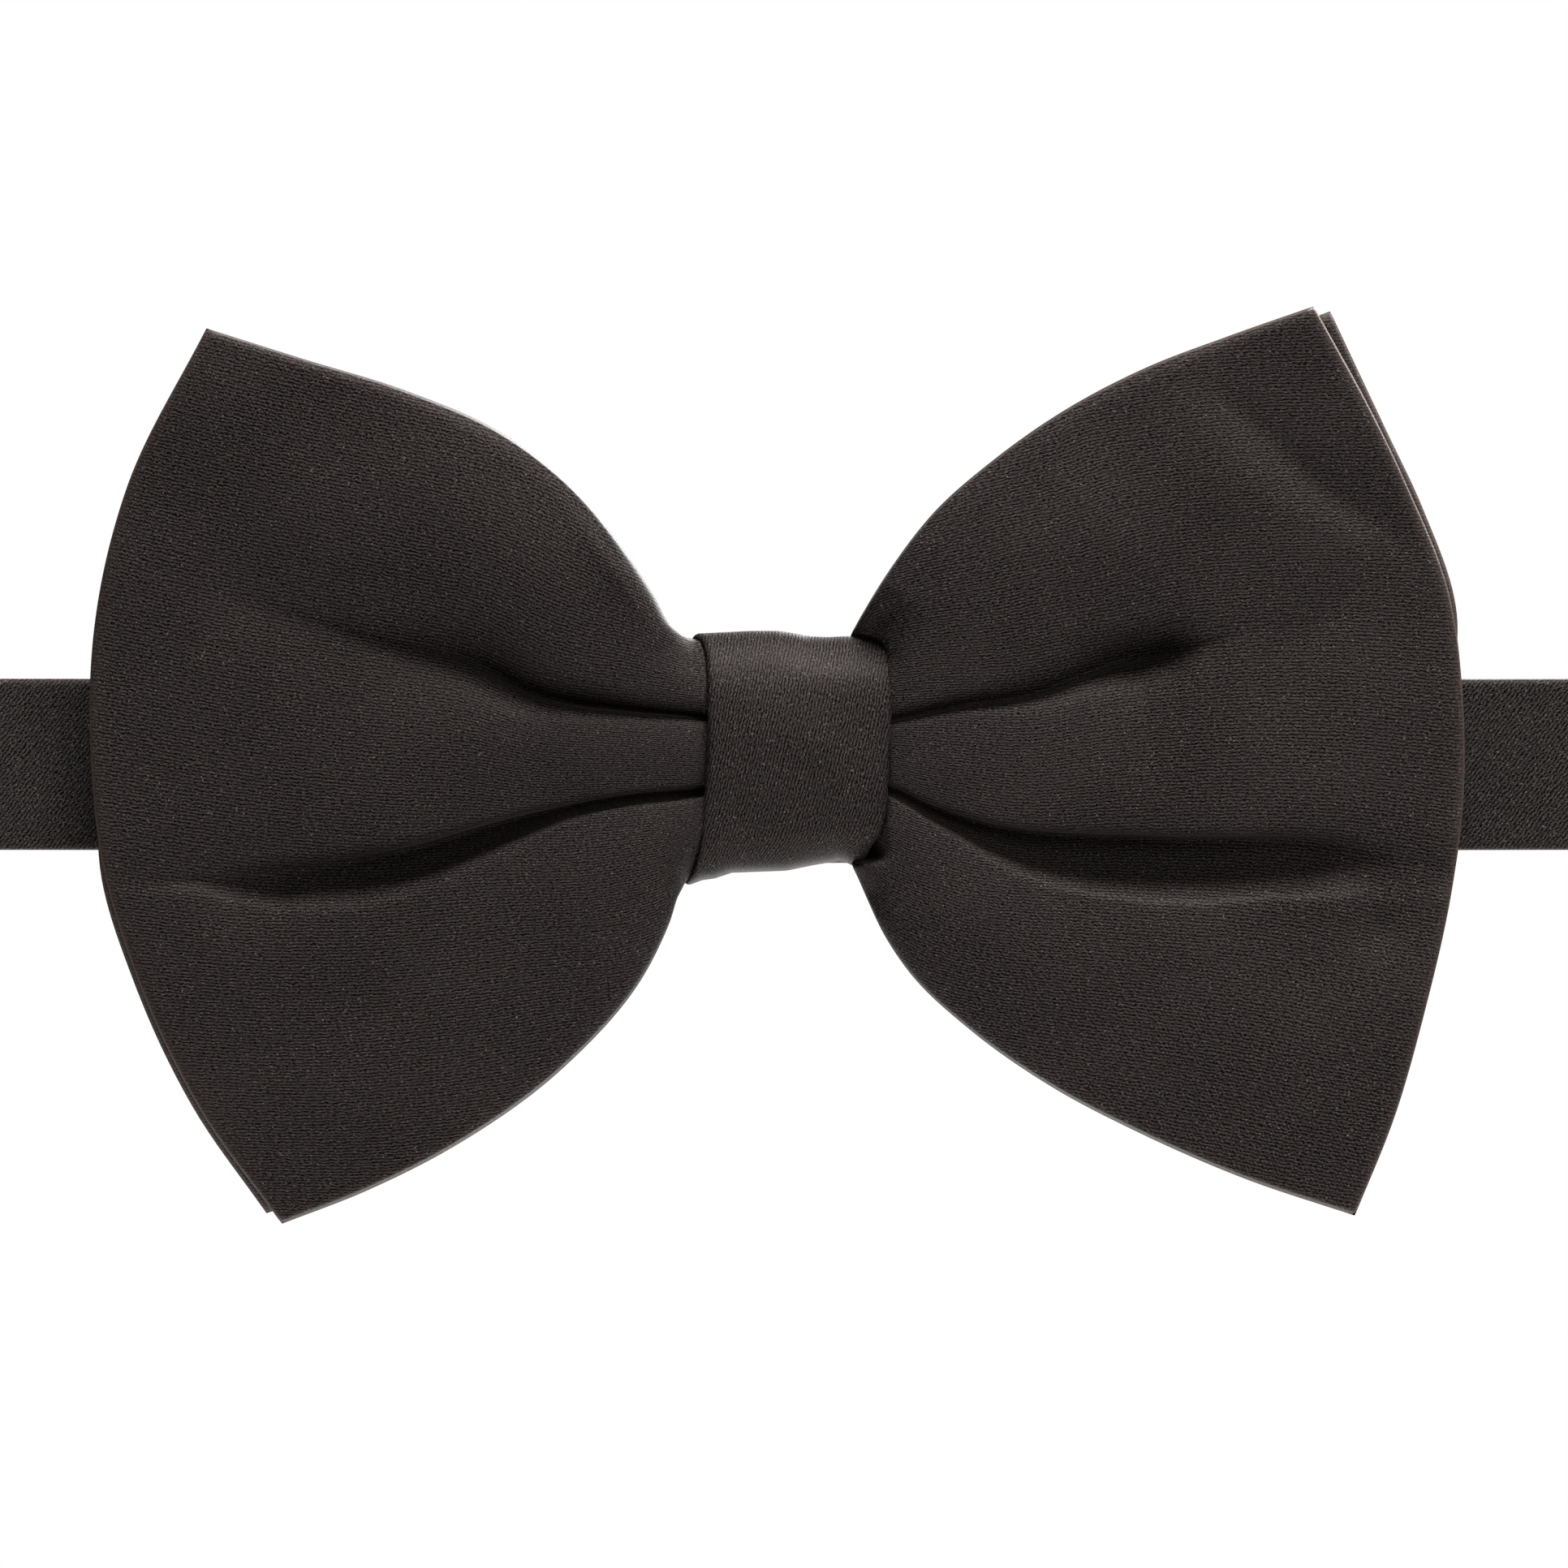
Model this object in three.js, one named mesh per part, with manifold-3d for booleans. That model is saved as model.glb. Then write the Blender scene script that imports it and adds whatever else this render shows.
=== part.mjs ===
// Pre-tied bow tie on an adjustable neck band. Millimetres, +Z up, upright as worn.
// The front of the bow faces -Y and +X is to the viewer's right. The origin lies on the band's
// flat neck-side face, at mid height, straight behind the knot.

import * as THREE from 'three';
import { mergeVertices } from 'three/addons/utils/BufferGeometryUtils.js';
import Module from 'manifold-3d';

const wasm = await Module();
wasm.setup();

const X = new THREE.Vector3(1, 0, 0);
const Y = new THREE.Vector3(0, 1, 0);
const Z = new THREE.Vector3(0, 0, 1);

// Clearance between pieces that lie on each other, and the cutters' run past a face.
const GAP = 0.3;
const PAST = 1;

// Neck band: a flat satin tube with a woven interlining inside.
const BAND_WIDTH = 15;
const BAND_THICK = 1.4;
const BAND_CLOTH = 0.3;
const BAND_LINING = 0.3;
const BAND_LINING_GAP = 0.25;

// Route of the band's centre line: a straight front run, tight front corners, wide back corners.
const FRONT_HALF = 75;
const FRONT_CORNER = 18;
const BACK_HALF = 50;
const BACK_CORNER = 43;
const SIDE_X = FRONT_HALF + FRONT_CORNER;
const FRONT_Y = -BAND_THICK / 2;
const BACK_Y = 75;
const FLEX_Y = 25;
const FLEX_GAP = 1.2;

// Fold of the band round a fitting's end bar: radius of the fold's centre line.
const FOLD_INSIDE = 1.2;
const FOLD_R = FOLD_INSIDE + BAND_THICK / 2;
const FITTING_Y = BACK_Y - FOLD_R;
const INNER_PLY_Y = FITTING_Y - FOLD_R;

// Stamped steel fittings.
const SHEET = 1;
const FITTING_HALF = 10;
const SLOT_HALF = 8;
const END_BAR = 1.4;
const SLOT_TO_BAR = 3;
const EYE_BAR_X = 37;
const EYE_CATCH_X = 22;
const EYE_WINDOW_HALF = 4.5;
const EYE_TONGUE_HALF = 7;
const HOOK_BAR_X = 8;
const HOOK_TONGUE_HALF = 3;
const HOOK_LIP_X = 26;
const SLIDER_X = -18;
const SLIDER_HALF = 6;
const SLIDER_BAR_Y = 72.2;
const SLIDER_BAR_HALF = 0.6;

// Return ply of the adjuster loop and the narrow end that is sewn round the slider's bar.
const STUB_LENGTH = 6;
const TAB_THICK = 0.8;
const TAB_FOLD_R = SHEET + TAB_THICK / 2;
const TAB_LENGTH = 9;

// Bow: two flattened satin pockets, one behind the other, pinched at the waist.
const WAIST_HALF = 8.1;
const WAIST_BOTTOM = -6.8;
const WAIST_TOP = 8.6;
const BACK_LAYER = { waist: [-5.1, -2.5], flat: -2.2, edge: -4.2, puff: 1.1, lining: -3.4 };
const FRONT_LAYER = { waist: [-8, -5.4], flat: -5.7, edge: -7.7, puff: 7, lining: -6.7 };
const WING_COLUMNS = 14;
const WING_ROWS = 7;
const BOW_LINING = 0.4;
const LINING_INSET = 2.9;
const TURNING_SLIT = 3;

// Knot: a satin loop round the waist and the band, with padding under its front.
const KNOT_HALF = 8.05;
const KNOT_BOTTOM = -9.4;
const KNOT_TOP = 11.2;
const KNOT_FRONT = -12.2;
const KNOT_BACK = 1;
const KNOT_CLOTH = 0.7;
const KNOT_ROUND = 1.8;
const PADDING_FRONT = 2.1;
const PADDING_SIDE = 0.5;
const THREAD = 0.5;
const THREAD_HALF = 1.5;

const SATIN = { color: 0x302c2b, roughness: 0.55, metalness: 0 };
const LINING = { color: 0xd8d4cc, roughness: 0.9, metalness: 0 };
const SEWING = { color: 0x1c1a1a, roughness: 0.7, metalness: 0 };
const NICKEL = { color: 0xc4c4c2, roughness: 0.28, metalness: 1 };

// Turn a closed geometry into a manifold solid, and back.
function solid(geometry) {
  const bare = geometry.clone();
  bare.deleteAttribute('normal');
  bare.deleteAttribute('uv');
  const merged = mergeVertices(bare, 1e-4);
  return new wasm.Manifold(new wasm.Mesh({
    numProp: 3,
    vertProperties: new Float32Array(merged.attributes.position.array),
    triVerts: new Uint32Array(merged.index.array),
  }));
}

function geometryOf(manifold) {
  const mesh = manifold.getMesh();
  const geometry = new THREE.BufferGeometry();
  geometry.setAttribute('position', new THREE.BufferAttribute(mesh.vertProperties, 3));
  geometry.setIndex(new THREE.BufferAttribute(mesh.triVerts, 1));
  geometry.computeVertexNormals();
  return geometry;
}

function join(...geometries) {
  return geometryOf(geometries.map(solid).reduce((sum, next) => sum.add(next)));
}

function cut(geometry, ...tools) {
  return geometryOf(tools.map(solid).reduce((rest, tool) => rest.subtract(tool), solid(geometry)));
}

// Extrude a flat shape: its x runs along `across`, its y along `up`, its depth along their cross.
function extrude(shape, depth, across, up) {
  const geometry = new THREE.ExtrudeGeometry(shape, { depth, bevelEnabled: false, curveSegments: 6 });
  return geometry.applyMatrix4(new THREE.Matrix4().makeBasis(across, up, across.clone().cross(up)));
}

// A shape seen in plan, centred on mid height.
function standing(shape, height) {
  return extrude(shape, height, X, Y).translate(0, 0, -height / 2);
}

// A shape seen from the front, as a plate between two depths.
function plate(shape, front, back) {
  return extrude(shape, back - front, X, Z).translate(0, back, 0);
}

// A shape seen from the side (its x is Y, its y is Z), centred on x = 0.
function crosswise(shape, width) {
  return extrude(shape, width, Y, Z).translate(-width / 2, 0, 0);
}

function block(x0, x1, y0, y1, z0, z1) {
  const geometry = new THREE.BoxGeometry(x1 - x0, y1 - y0, z1 - z0);
  return geometry.translate((x0 + x1) / 2, (y0 + y1) / 2, (z0 + z1) / 2);
}

function polygon(points) {
  return new THREE.Shape(points.map(([x, y]) => new THREE.Vector2(x, y)));
}

function roundedRect(x0, x1, y0, y1, r, Kind = THREE.Shape) {
  const path = new Kind();
  path.moveTo(x0 + r, y0);
  path.lineTo(x1 - r, y0);
  path.absarc(x1 - r, y0 + r, r, -Math.PI / 2, 0);
  path.lineTo(x1, y1 - r);
  path.absarc(x1 - r, y1 - r, r, 0, Math.PI / 2);
  path.lineTo(x0 + r, y1);
  path.absarc(x0 + r, y1 - r, r, Math.PI / 2, Math.PI);
  path.lineTo(x0, y0 + r);
  path.absarc(x0 + r, y0 + r, r, Math.PI, Math.PI * 1.5);
  return path;
}

// Outline of a strip of constant width along a line of points.
function strip(points, width) {
  const sides = points.map((point, i) => {
    const before = points[Math.max(i - 1, 0)];
    const after = points[Math.min(i + 1, points.length - 1)];
    const into = point.clone().sub(before).normalize();
    const out = after.clone().sub(point).normalize();
    const along = into.add(out).normalize();
    return new THREE.Vector2(-along.y, along.x).multiplyScalar(width / 2);
  });
  const left = points.map((point, i) => point.clone().add(sides[i]));
  const right = points.map((point, i) => point.clone().sub(sides[i]));
  return new THREE.Shape([...right, ...left.reverse()]);
}

// The same line with both ends moved outwards, or inwards when the distance is negative.
function lengthened(points, distance) {
  const line = points.map((point) => point.clone());
  const last = line.length - 1;
  const head = points[0].clone().sub(points[1]).setLength(distance);
  const tail = points[last].clone().sub(points[last - 1]).setLength(distance);
  line[0].add(head);
  line[last].add(tail);
  return line;
}

function arc(cx, cy, r, fromDeg, toDeg, steps) {
  const points = [];
  for (let i = 0; i <= steps; i += 1) {
    const angle = THREE.MathUtils.degToRad(fromDeg + ((toDeg - fromDeg) * i) / steps);
    points.push(new THREE.Vector2(cx + r * Math.cos(angle), cy + r * Math.sin(angle)));
  }
  return points;
}

// Band cloth: a flat tube, open at both ends, and the interlining that lies inside it.
function bandCloth(route) {
  const hollow = BAND_THICK - 2 * BAND_CLOTH;
  const outside = standing(strip(route, BAND_THICK), BAND_WIDTH);
  const inside = standing(strip(lengthened(route, PAST), hollow), BAND_WIDTH - 2 * BAND_CLOTH);
  return cut(outside, inside);
}

function bandLining(route) {
  const height = BAND_WIDTH - 2 * BAND_CLOTH - 2 * BAND_LINING_GAP;
  return standing(strip(lengthened(route, -PAST), BAND_LINING), height);
}

// Fixed part of the band: left flex line, front run, right side, and the fold round the eye's bar.
function mainRoute() {
  const frontCornerY = FRONT_Y + FRONT_CORNER;
  const backCornerY = BACK_Y - BACK_CORNER;
  const stackedY = BACK_Y - BAND_THICK - GAP;
  return [
    new THREE.Vector2(-SIDE_X, FLEX_Y - FLEX_GAP / 2),
    ...arc(-FRONT_HALF, frontCornerY, FRONT_CORNER, 180, 270, 6),
    ...arc(FRONT_HALF, frontCornerY, FRONT_CORNER, 270, 360, 6),
    ...arc(BACK_HALF, backCornerY, BACK_CORNER, 0, 90, 10),
    ...arc(EYE_BAR_X, FITTING_Y, FOLD_R, 90, 270, 8),
    new THREE.Vector2(EYE_BAR_X + 2, INNER_PLY_Y),
    new THREE.Vector2(EYE_BAR_X + 7, stackedY),
    new THREE.Vector2(EYE_BAR_X + 15, stackedY),
  ];
}

// Opening arm of the band: left side, back run, the fold round the hook's bar, and a short stub.
function armRoute() {
  const backCornerY = BACK_Y - BACK_CORNER;
  return [
    new THREE.Vector2(-SIDE_X, FLEX_Y + FLEX_GAP / 2),
    ...arc(-BACK_HALF, backCornerY, BACK_CORNER, 180, 90, 10),
    ...arc(HOOK_BAR_X, FITTING_Y, FOLD_R, 90, -90, 8),
    new THREE.Vector2(HOOK_BAR_X - STUB_LENGTH, INNER_PLY_Y),
  ];
}

// Inner ply of the adjuster loop. It lengthens and shortens as the slider travels.
function returnPly() {
  const from = SLIDER_X + TAB_LENGTH + GAP;
  const to = HOOK_BAR_X - STUB_LENGTH - GAP;
  return block(from, to, INNER_PLY_Y - TAB_THICK / 2, INNER_PLY_Y + TAB_THICK / 2,
    -BAND_WIDTH / 2, BAND_WIDTH / 2);
}

// End of the return ply, folded round the slider's centre bar and sewn to itself.
function sliderTab() {
  const sewnY = INNER_PLY_Y + TAB_THICK + GAP;
  const route = [
    new THREE.Vector2(SLIDER_X + TAB_LENGTH, INNER_PLY_Y),
    ...arc(SLIDER_X, SLIDER_BAR_Y, TAB_FOLD_R, 270, 90, 8),
    new THREE.Vector2(SLIDER_X + TAB_LENGTH / 2, sewnY),
    new THREE.Vector2(SLIDER_X + TAB_LENGTH, sewnY),
  ];
  return standing(strip(route, TAB_THICK), BAND_WIDTH);
}

// Row of close zigzag stitches, lying on a face at the given depth.
function zigzag(x, front, back, halfWidth, bottom, top, turns, thread) {
  const points = [];
  for (let i = 0; i <= turns; i += 1) {
    const side = i % 2 === 0 ? -halfWidth : halfWidth;
    points.push(new THREE.Vector2(x + side, THREE.MathUtils.lerp(bottom, top, i / turns)));
  }
  return plate(strip(points, thread), front, back);
}

function barTack(x, front) {
  return zigzag(x, front, front + 0.4, 0.8, -5.5, 5.5, 14, 0.45);
}

// Eye: a stamped plate with a slot for the band and a window for the hook's lip.
function eye() {
  const barEdge = EYE_BAR_X + END_BAR / 2;
  const slotLeft = EYE_BAR_X - SLOT_TO_BAR;
  const windowRight = slotLeft - 2;
  const outline = polygon([
    [EYE_CATCH_X + 1.5, -EYE_TONGUE_HALF],
    [windowRight - 2, -EYE_TONGUE_HALF],
    [slotLeft - 1, -FITTING_HALF],
    [barEdge - 1, -FITTING_HALF],
    [barEdge, 1 - FITTING_HALF],
    [barEdge, FITTING_HALF - 1],
    [barEdge - 1, FITTING_HALF],
    [slotLeft - 1, FITTING_HALF],
    [windowRight - 2, EYE_TONGUE_HALF],
    [EYE_CATCH_X + 1.5, EYE_TONGUE_HALF],
    [EYE_CATCH_X, EYE_TONGUE_HALF - 1.5],
    [EYE_CATCH_X, 1.5 - EYE_TONGUE_HALF],
  ]);
  const barLeft = EYE_BAR_X - END_BAR / 2;
  outline.holes.push(roundedRect(slotLeft, barLeft, -SLOT_HALF, SLOT_HALF, 0.6, THREE.Path));
  outline.holes.push(roundedRect(EYE_CATCH_X + 2, windowRight, -EYE_WINDOW_HALF, EYE_WINDOW_HALF, 1.5,
    THREE.Path));
  return plate(outline, FITTING_Y - SHEET / 2, FITTING_Y + SHEET / 2);
}

// Hook: a slotted plate whose tongue steps outwards over the eye and turns in at its tip.
function hook() {
  const barEdge = HOOK_BAR_X - END_BAR / 2;
  const slotRight = HOOK_BAR_X + SLOT_TO_BAR;
  const neck = slotRight + 2.5;
  const frame = polygon([
    [barEdge, 1 - FITTING_HALF],
    [barEdge + 1, -FITTING_HALF],
    [slotRight + 0.5, -FITTING_HALF],
    [neck + 1.5, -HOOK_TONGUE_HALF],
    [neck + 1.5, HOOK_TONGUE_HALF],
    [slotRight + 0.5, FITTING_HALF],
    [barEdge + 1, FITTING_HALF],
    [barEdge, FITTING_HALF - 1],
  ]);
  frame.holes.push(roundedRect(HOOK_BAR_X + END_BAR / 2, slotRight, -SLOT_HALF, SLOT_HALF, 0.6,
    THREE.Path));
  const inner = FITTING_Y - SHEET / 2;
  const outer = FITTING_Y + SHEET / 2;
  const step = SHEET + 0.4;
  const profile = polygon([
    [neck - 1, inner],
    [neck + 1.8, inner],
    [neck + 4, inner + step],
    [HOOK_LIP_X, inner + step],
    [HOOK_LIP_X, inner - 1.2],
    [HOOK_LIP_X + SHEET, inner - 1.2],
    [HOOK_LIP_X + SHEET, outer + step - 0.6],
    [HOOK_LIP_X + SHEET - 0.6, outer + step],
    [neck + 3.6, outer + step],
    [neck + 1.4, outer],
    [neck - 1, outer],
  ]);
  return join(plate(frame, inner, outer), standing(profile, 2 * HOOK_TONGUE_HALF));
}

// Slider: rims outside the band, a centre bar inside it, and dished side rails that join them.
function slider() {
  const rimInner = BACK_Y + BAND_THICK / 2 + GAP;
  const rimOuter = rimInner + SHEET;
  const barInner = SLIDER_BAR_Y - SHEET / 2;
  const barOuter = SLIDER_BAR_Y + SHEET / 2;
  const rail = polygon([
    [SLIDER_X - SLIDER_HALF, rimInner],
    [SLIDER_X - SLIDER_HALF + 1.6, rimInner],
    [SLIDER_X - 1.5, barInner],
    [SLIDER_X + 1.5, barInner],
    [SLIDER_X + SLIDER_HALF - 1.6, rimInner],
    [SLIDER_X + SLIDER_HALF, rimInner],
    [SLIDER_X + SLIDER_HALF, rimOuter],
    [SLIDER_X + SLIDER_HALF - 2, rimOuter],
    [SLIDER_X + 1.2, barOuter],
    [SLIDER_X - 1.2, barOuter],
    [SLIDER_X - SLIDER_HALF + 2, rimOuter],
    [SLIDER_X - SLIDER_HALF, rimOuter],
  ]);
  const railHeight = FITTING_HALF - SLOT_HALF;
  const railLevel = SLOT_HALF + railHeight / 2;
  const rimRight = SLIDER_X + SLIDER_HALF;
  const rimLeft = SLIDER_X - SLIDER_HALF;
  return join(
    standing(rail, railHeight).translate(0, 0, railLevel),
    standing(rail, railHeight).translate(0, 0, -railLevel),
    block(rimRight - 1.6, rimRight, rimInner, rimOuter, -SLOT_HALF - 0.5, SLOT_HALF + 0.5),
    block(rimLeft, rimLeft + 1.6, rimInner, rimOuter, -SLOT_HALF - 0.5, SLOT_HALF + 0.5),
    block(SLIDER_X - SLIDER_BAR_HALF, SLIDER_X + SLIDER_BAR_HALF, barInner, barOuter,
      -SLOT_HALF - 0.5, SLOT_HALF + 0.5),
  );
}

// Outline of one wing, as curves through a few points of (x, z).
function wingOutline(bottom, outer, top) {
  const curve = (points) => new THREE.SplineCurve(points.map(([x, z]) => new THREE.Vector2(x, z)));
  return { bottom: curve(bottom), outer: curve(outer), top: curve(top) };
}

const FRONT_RIGHT = wingOutline(
  [[8.4, -13.5], [13.5, -21.5], [20, -26.5], [28, -31.2], [37.5, -35.3], [48.5, -39.3]],
  [[48.5, -39.3], [54.8, -21], [57.8, -4], [57.2, 12], [53, 24.5], [44.9, 39.9]],
  [[8.4, 14.5], [13.5, 23], [19.5, 28.5], [27, 33], [36, 36.8], [44.9, 39.9]],
);
const BACK_RIGHT = wingOutline(
  [[8.4, -12], [13.5, -20], [20, -25], [28, -29.7], [37.5, -34], [48, -38.3]],
  [[48, -38.3], [54, -21], [57, -4], [57.4, 12], [54.5, 23], [46.5, 39.6]],
  [[8.4, 13], [13.5, 21.5], [19.5, 27], [27, 31.5], [36, 35.5], [46.5, 39.6]],
);
const FRONT_LEFT = wingOutline(
  [[-8.4, -10], [-14, -19.5], [-22, -27.8], [-29, -32.7], [-36.5, -36.6], [-44.9, -40]],
  [[-44.9, -40], [-55.5, -24], [-60.5, -9.5], [-61.5, 9], [-58.5, 24], [-51.5, 38]],
  [[-8.4, 11], [-14.5, 18.5], [-21, 25.5], [-29, 30.5], [-39, 34.2], [-51.5, 38]],
);
const BACK_LEFT = wingOutline(
  [[-8.4, -9.5], [-14, -18.5], [-22, -26.8], [-29, -31.8], [-36.5, -35.6], [-46.5, -39]],
  [[-46.5, -39], [-56.2, -24], [-60.8, -9.5], [-60.8, 9], [-57.7, 23.5], [-50.5, 36.5]],
  [[-8.4, 10], [-14.5, 17.5], [-21, 24.5], [-29, 29.5], [-39, 33.2], [-50.5, 36.5]],
);

// A point of the wing, u from the knot to the outer edge and v from the bottom to the top.
function wingPoint(wing, u, v) {
  const rim = wing.outer.getPoint(v);
  const chord = wing.bottom.getPoint(1).lerp(wing.top.getPoint(1), v);
  const bow = rim.sub(chord).multiplyScalar(u * u);
  return wing.bottom.getPoint(u).lerp(wing.top.getPoint(u), v).add(bow);
}

function puff(layer, u, v) {
  const across = 1 - (2 * v - 1) ** 4;
  return layer.puff * (1 - u) ** 1.3 * across * Math.min(1, 0.45 + 4 * u);
}

// Closed pillow that runs from the left wing through the waist to the right wing.
function bowPillow(layer, left, right) {
  const columns = WING_COLUMNS + 2;
  const geometry = new THREE.BoxGeometry(2 * columns, 2, 2 * WING_ROWS, 2 * columns, 1, 2 * WING_ROWS);
  const position = geometry.attributes.position;
  for (let i = 0; i < position.count; i += 1) {
    const column = Math.round(position.getX(i));
    const atBack = position.getY(i) > 0;
    const v = (position.getZ(i) + WING_ROWS) / (2 * WING_ROWS);
    const u = (Math.abs(column) - 2) / WING_COLUMNS;
    if (u < 0) {
      const z = THREE.MathUtils.lerp(WAIST_BOTTOM, WAIST_TOP, v);
      position.setXYZ(i, column * WAIST_HALF, layer.waist[atBack ? 1 : 0], z);
    } else {
      const point = wingPoint(column < 0 ? left : right, u, v);
      position.setXYZ(i, point.x, atBack ? layer.flat : layer.edge - puff(layer, u, v), point.y);
    }
  }
  return geometry;
}

// Outline of the interlining: the bow's own outline drawn in by the given distance.
function liningShape(left, right, inset) {
  const begin = (inset - 2.1) / 40;
  const end = 1 - inset / 50;
  const wingLoop = (wing) => {
    const at = (u, side) => {
      const height = wing.top.getPoint(u).distanceTo(wing.bottom.getPoint(u));
      return wingPoint(wing, u, side < 0 ? inset / height : 1 - inset / height);
    };
    const steps = [0, 0.2, 0.4, 0.6, 0.8, 1].map((t) => THREE.MathUtils.lerp(begin, end, t));
    const rim = [0.25, 0.5, 0.75].map((v) => wingPoint(wing, end, v));
    return [...steps.map((u) => at(u, -1)), ...rim, ...steps.reverse().map((u) => at(u, 1))];
  };
  const rightLoop = wingLoop(right);
  const leftLoop = wingLoop(left).reverse();
  const waistLow = WAIST_BOTTOM + inset / 2;
  const waistHigh = WAIST_TOP - inset / 2;
  const corner = (point, z) => new THREE.Vector2(point.x, z);
  return new THREE.Shape([
    corner(rightLoop[0], waistLow),
    ...rightLoop,
    corner(rightLoop[rightLoop.length - 1], waistHigh),
    corner(leftLoop[0], waistHigh),
    ...leftLoop,
    corner(leftLoop[leftLoop.length - 1], waistLow),
  ]);
}

function bowLining(layer, left, right) {
  const shape = liningShape(left, right, LINING_INSET);
  return plate(shape, layer.lining - BOW_LINING / 2, layer.lining + BOW_LINING / 2);
}

// The pillow with a pocket for its interlining, and the turning slit at the back of the waist.
function bowCloth(layer, left, right) {
  const shape = liningShape(left, right, LINING_INSET - 0.4);
  const reach = BOW_LINING / 2 + GAP;
  const pocket = plate(shape, layer.lining - reach, layer.lining + reach);
  const slit = block(-TURNING_SLIT, TURNING_SLIT, layer.lining, layer.waist[1] + PAST,
    -TURNING_SLIT, TURNING_SLIT);
  return cut(bowPillow(layer, left, right), pocket, slit);
}

// Ring of thread wound round both pinched waists.
function waistThread() {
  const front = FRONT_LAYER.waist[0] - GAP;
  const back = BACK_LAYER.waist[1] + GAP;
  const low = WAIST_BOTTOM - GAP;
  const high = WAIST_TOP + GAP;
  const ring = roundedRect(front - THREAD, back + THREAD, low - THREAD, high + THREAD, 0.8);
  ring.holes.push(roundedRect(front, back, low, high, 0.3, THREE.Path));
  return crosswise(ring, 2 * THREAD_HALF);
}

function knotCloth() {
  const ring = roundedRect(KNOT_FRONT, KNOT_BACK, KNOT_BOTTOM, KNOT_TOP, KNOT_ROUND);
  ring.holes.push(roundedRect(KNOT_FRONT + KNOT_CLOTH, KNOT_BACK - KNOT_CLOTH, KNOT_BOTTOM + KNOT_CLOTH,
    KNOT_TOP - KNOT_CLOTH, KNOT_ROUND - KNOT_CLOTH, THREE.Path));
  return crosswise(ring, 2 * KNOT_HALF);
}

// Padding under the knot's front, with thin legs that lie under its top and bottom.
function knotPadding() {
  const inside = KNOT_CLOTH + GAP;
  const front = KNOT_FRONT + inside;
  const low = KNOT_BOTTOM + inside;
  const high = KNOT_TOP - inside;
  const legEnd = BACK_LAYER.waist[1] + THREAD;
  const outer = crosswise(roundedRect(front, 0, low, high, KNOT_ROUND - inside), 2 * KNOT_HALF - 1);
  const inner = block(-KNOT_HALF - PAST, KNOT_HALF + PAST, front + PADDING_FRONT, PAST,
    low + PADDING_SIDE, high - PADDING_SIDE);
  const behind = block(-KNOT_HALF - PAST, KNOT_HALF + PAST, legEnd, PAST, low - PAST, high + PAST);
  return cut(outer, inner, behind);
}

function knotStitches() {
  return zigzag(0, KNOT_BACK + GAP, KNOT_BACK + GAP + 0.4, 0.9, -7, 8.8, 12, 0.45);
}

function piece(name, geometry, finish) {
  const mesh = new THREE.Mesh(geometry, new THREE.MeshStandardMaterial(finish));
  mesh.name = name;
  return mesh;
}

function neckBand() {
  const group = new THREE.Group();
  const tackFront = BACK_Y + BAND_THICK / 2 + GAP;
  group.add(
    piece('band_cloth', bandCloth(mainRoute()), SATIN),
    piece('band_interlining', bandLining(mainRoute()), LINING),
    piece('eye_bar_tack', barTack(EYE_BAR_X + 11, tackFront), SEWING),
  );
  return group;
}

function openingArm() {
  const group = new THREE.Group();
  group.add(
    piece('arm_cloth', bandCloth(armRoute()), SATIN),
    piece('arm_interlining', bandLining(armRoute()), LINING),
    piece('adjuster_return_ply', returnPly(), SATIN),
    piece('hook', hook(), NICKEL),
    piece('eye', eye(), NICKEL),
  );
  return group;
}

function adjuster() {
  const group = new THREE.Group();
  const tackFront = INNER_PLY_Y - TAB_THICK / 2 - GAP - 0.4;
  group.add(
    piece('slider', slider(), NICKEL),
    piece('slider_end_tab', sliderTab(), SATIN),
    piece('slider_bar_tack', barTack(SLIDER_X + TAB_LENGTH - 2, tackFront), SEWING),
  );
  return group;
}

function bow() {
  const group = new THREE.Group();
  group.add(
    piece('front_bow_cloth', bowCloth(FRONT_LAYER, FRONT_LEFT, FRONT_RIGHT), SATIN),
    piece('front_bow_interlining', bowLining(FRONT_LAYER, FRONT_LEFT, FRONT_RIGHT), LINING),
    piece('back_bow_cloth', bowCloth(BACK_LAYER, BACK_LEFT, BACK_RIGHT), SATIN),
    piece('back_bow_interlining', bowLining(BACK_LAYER, BACK_LEFT, BACK_RIGHT), LINING),
    piece('waist_thread', waistThread(), SEWING),
    piece('knot_cloth', knotCloth(), SATIN),
    piece('knot_padding', knotPadding(), LINING),
    piece('knot_stitches', knotStitches(), SEWING),
  );
  return group;
}

const group = new THREE.Group();
group.add(neckBand(), openingArm(), adjuster(), bow());

export default group;
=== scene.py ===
# %% [markdown]
# # A ready-made satin bow tie
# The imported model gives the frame: where the band runs, where the fittings sit and how they move.
# This notebook sews the cloth round it: two pleated bow layers, a knot, a band and its fittings.

import math

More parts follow.
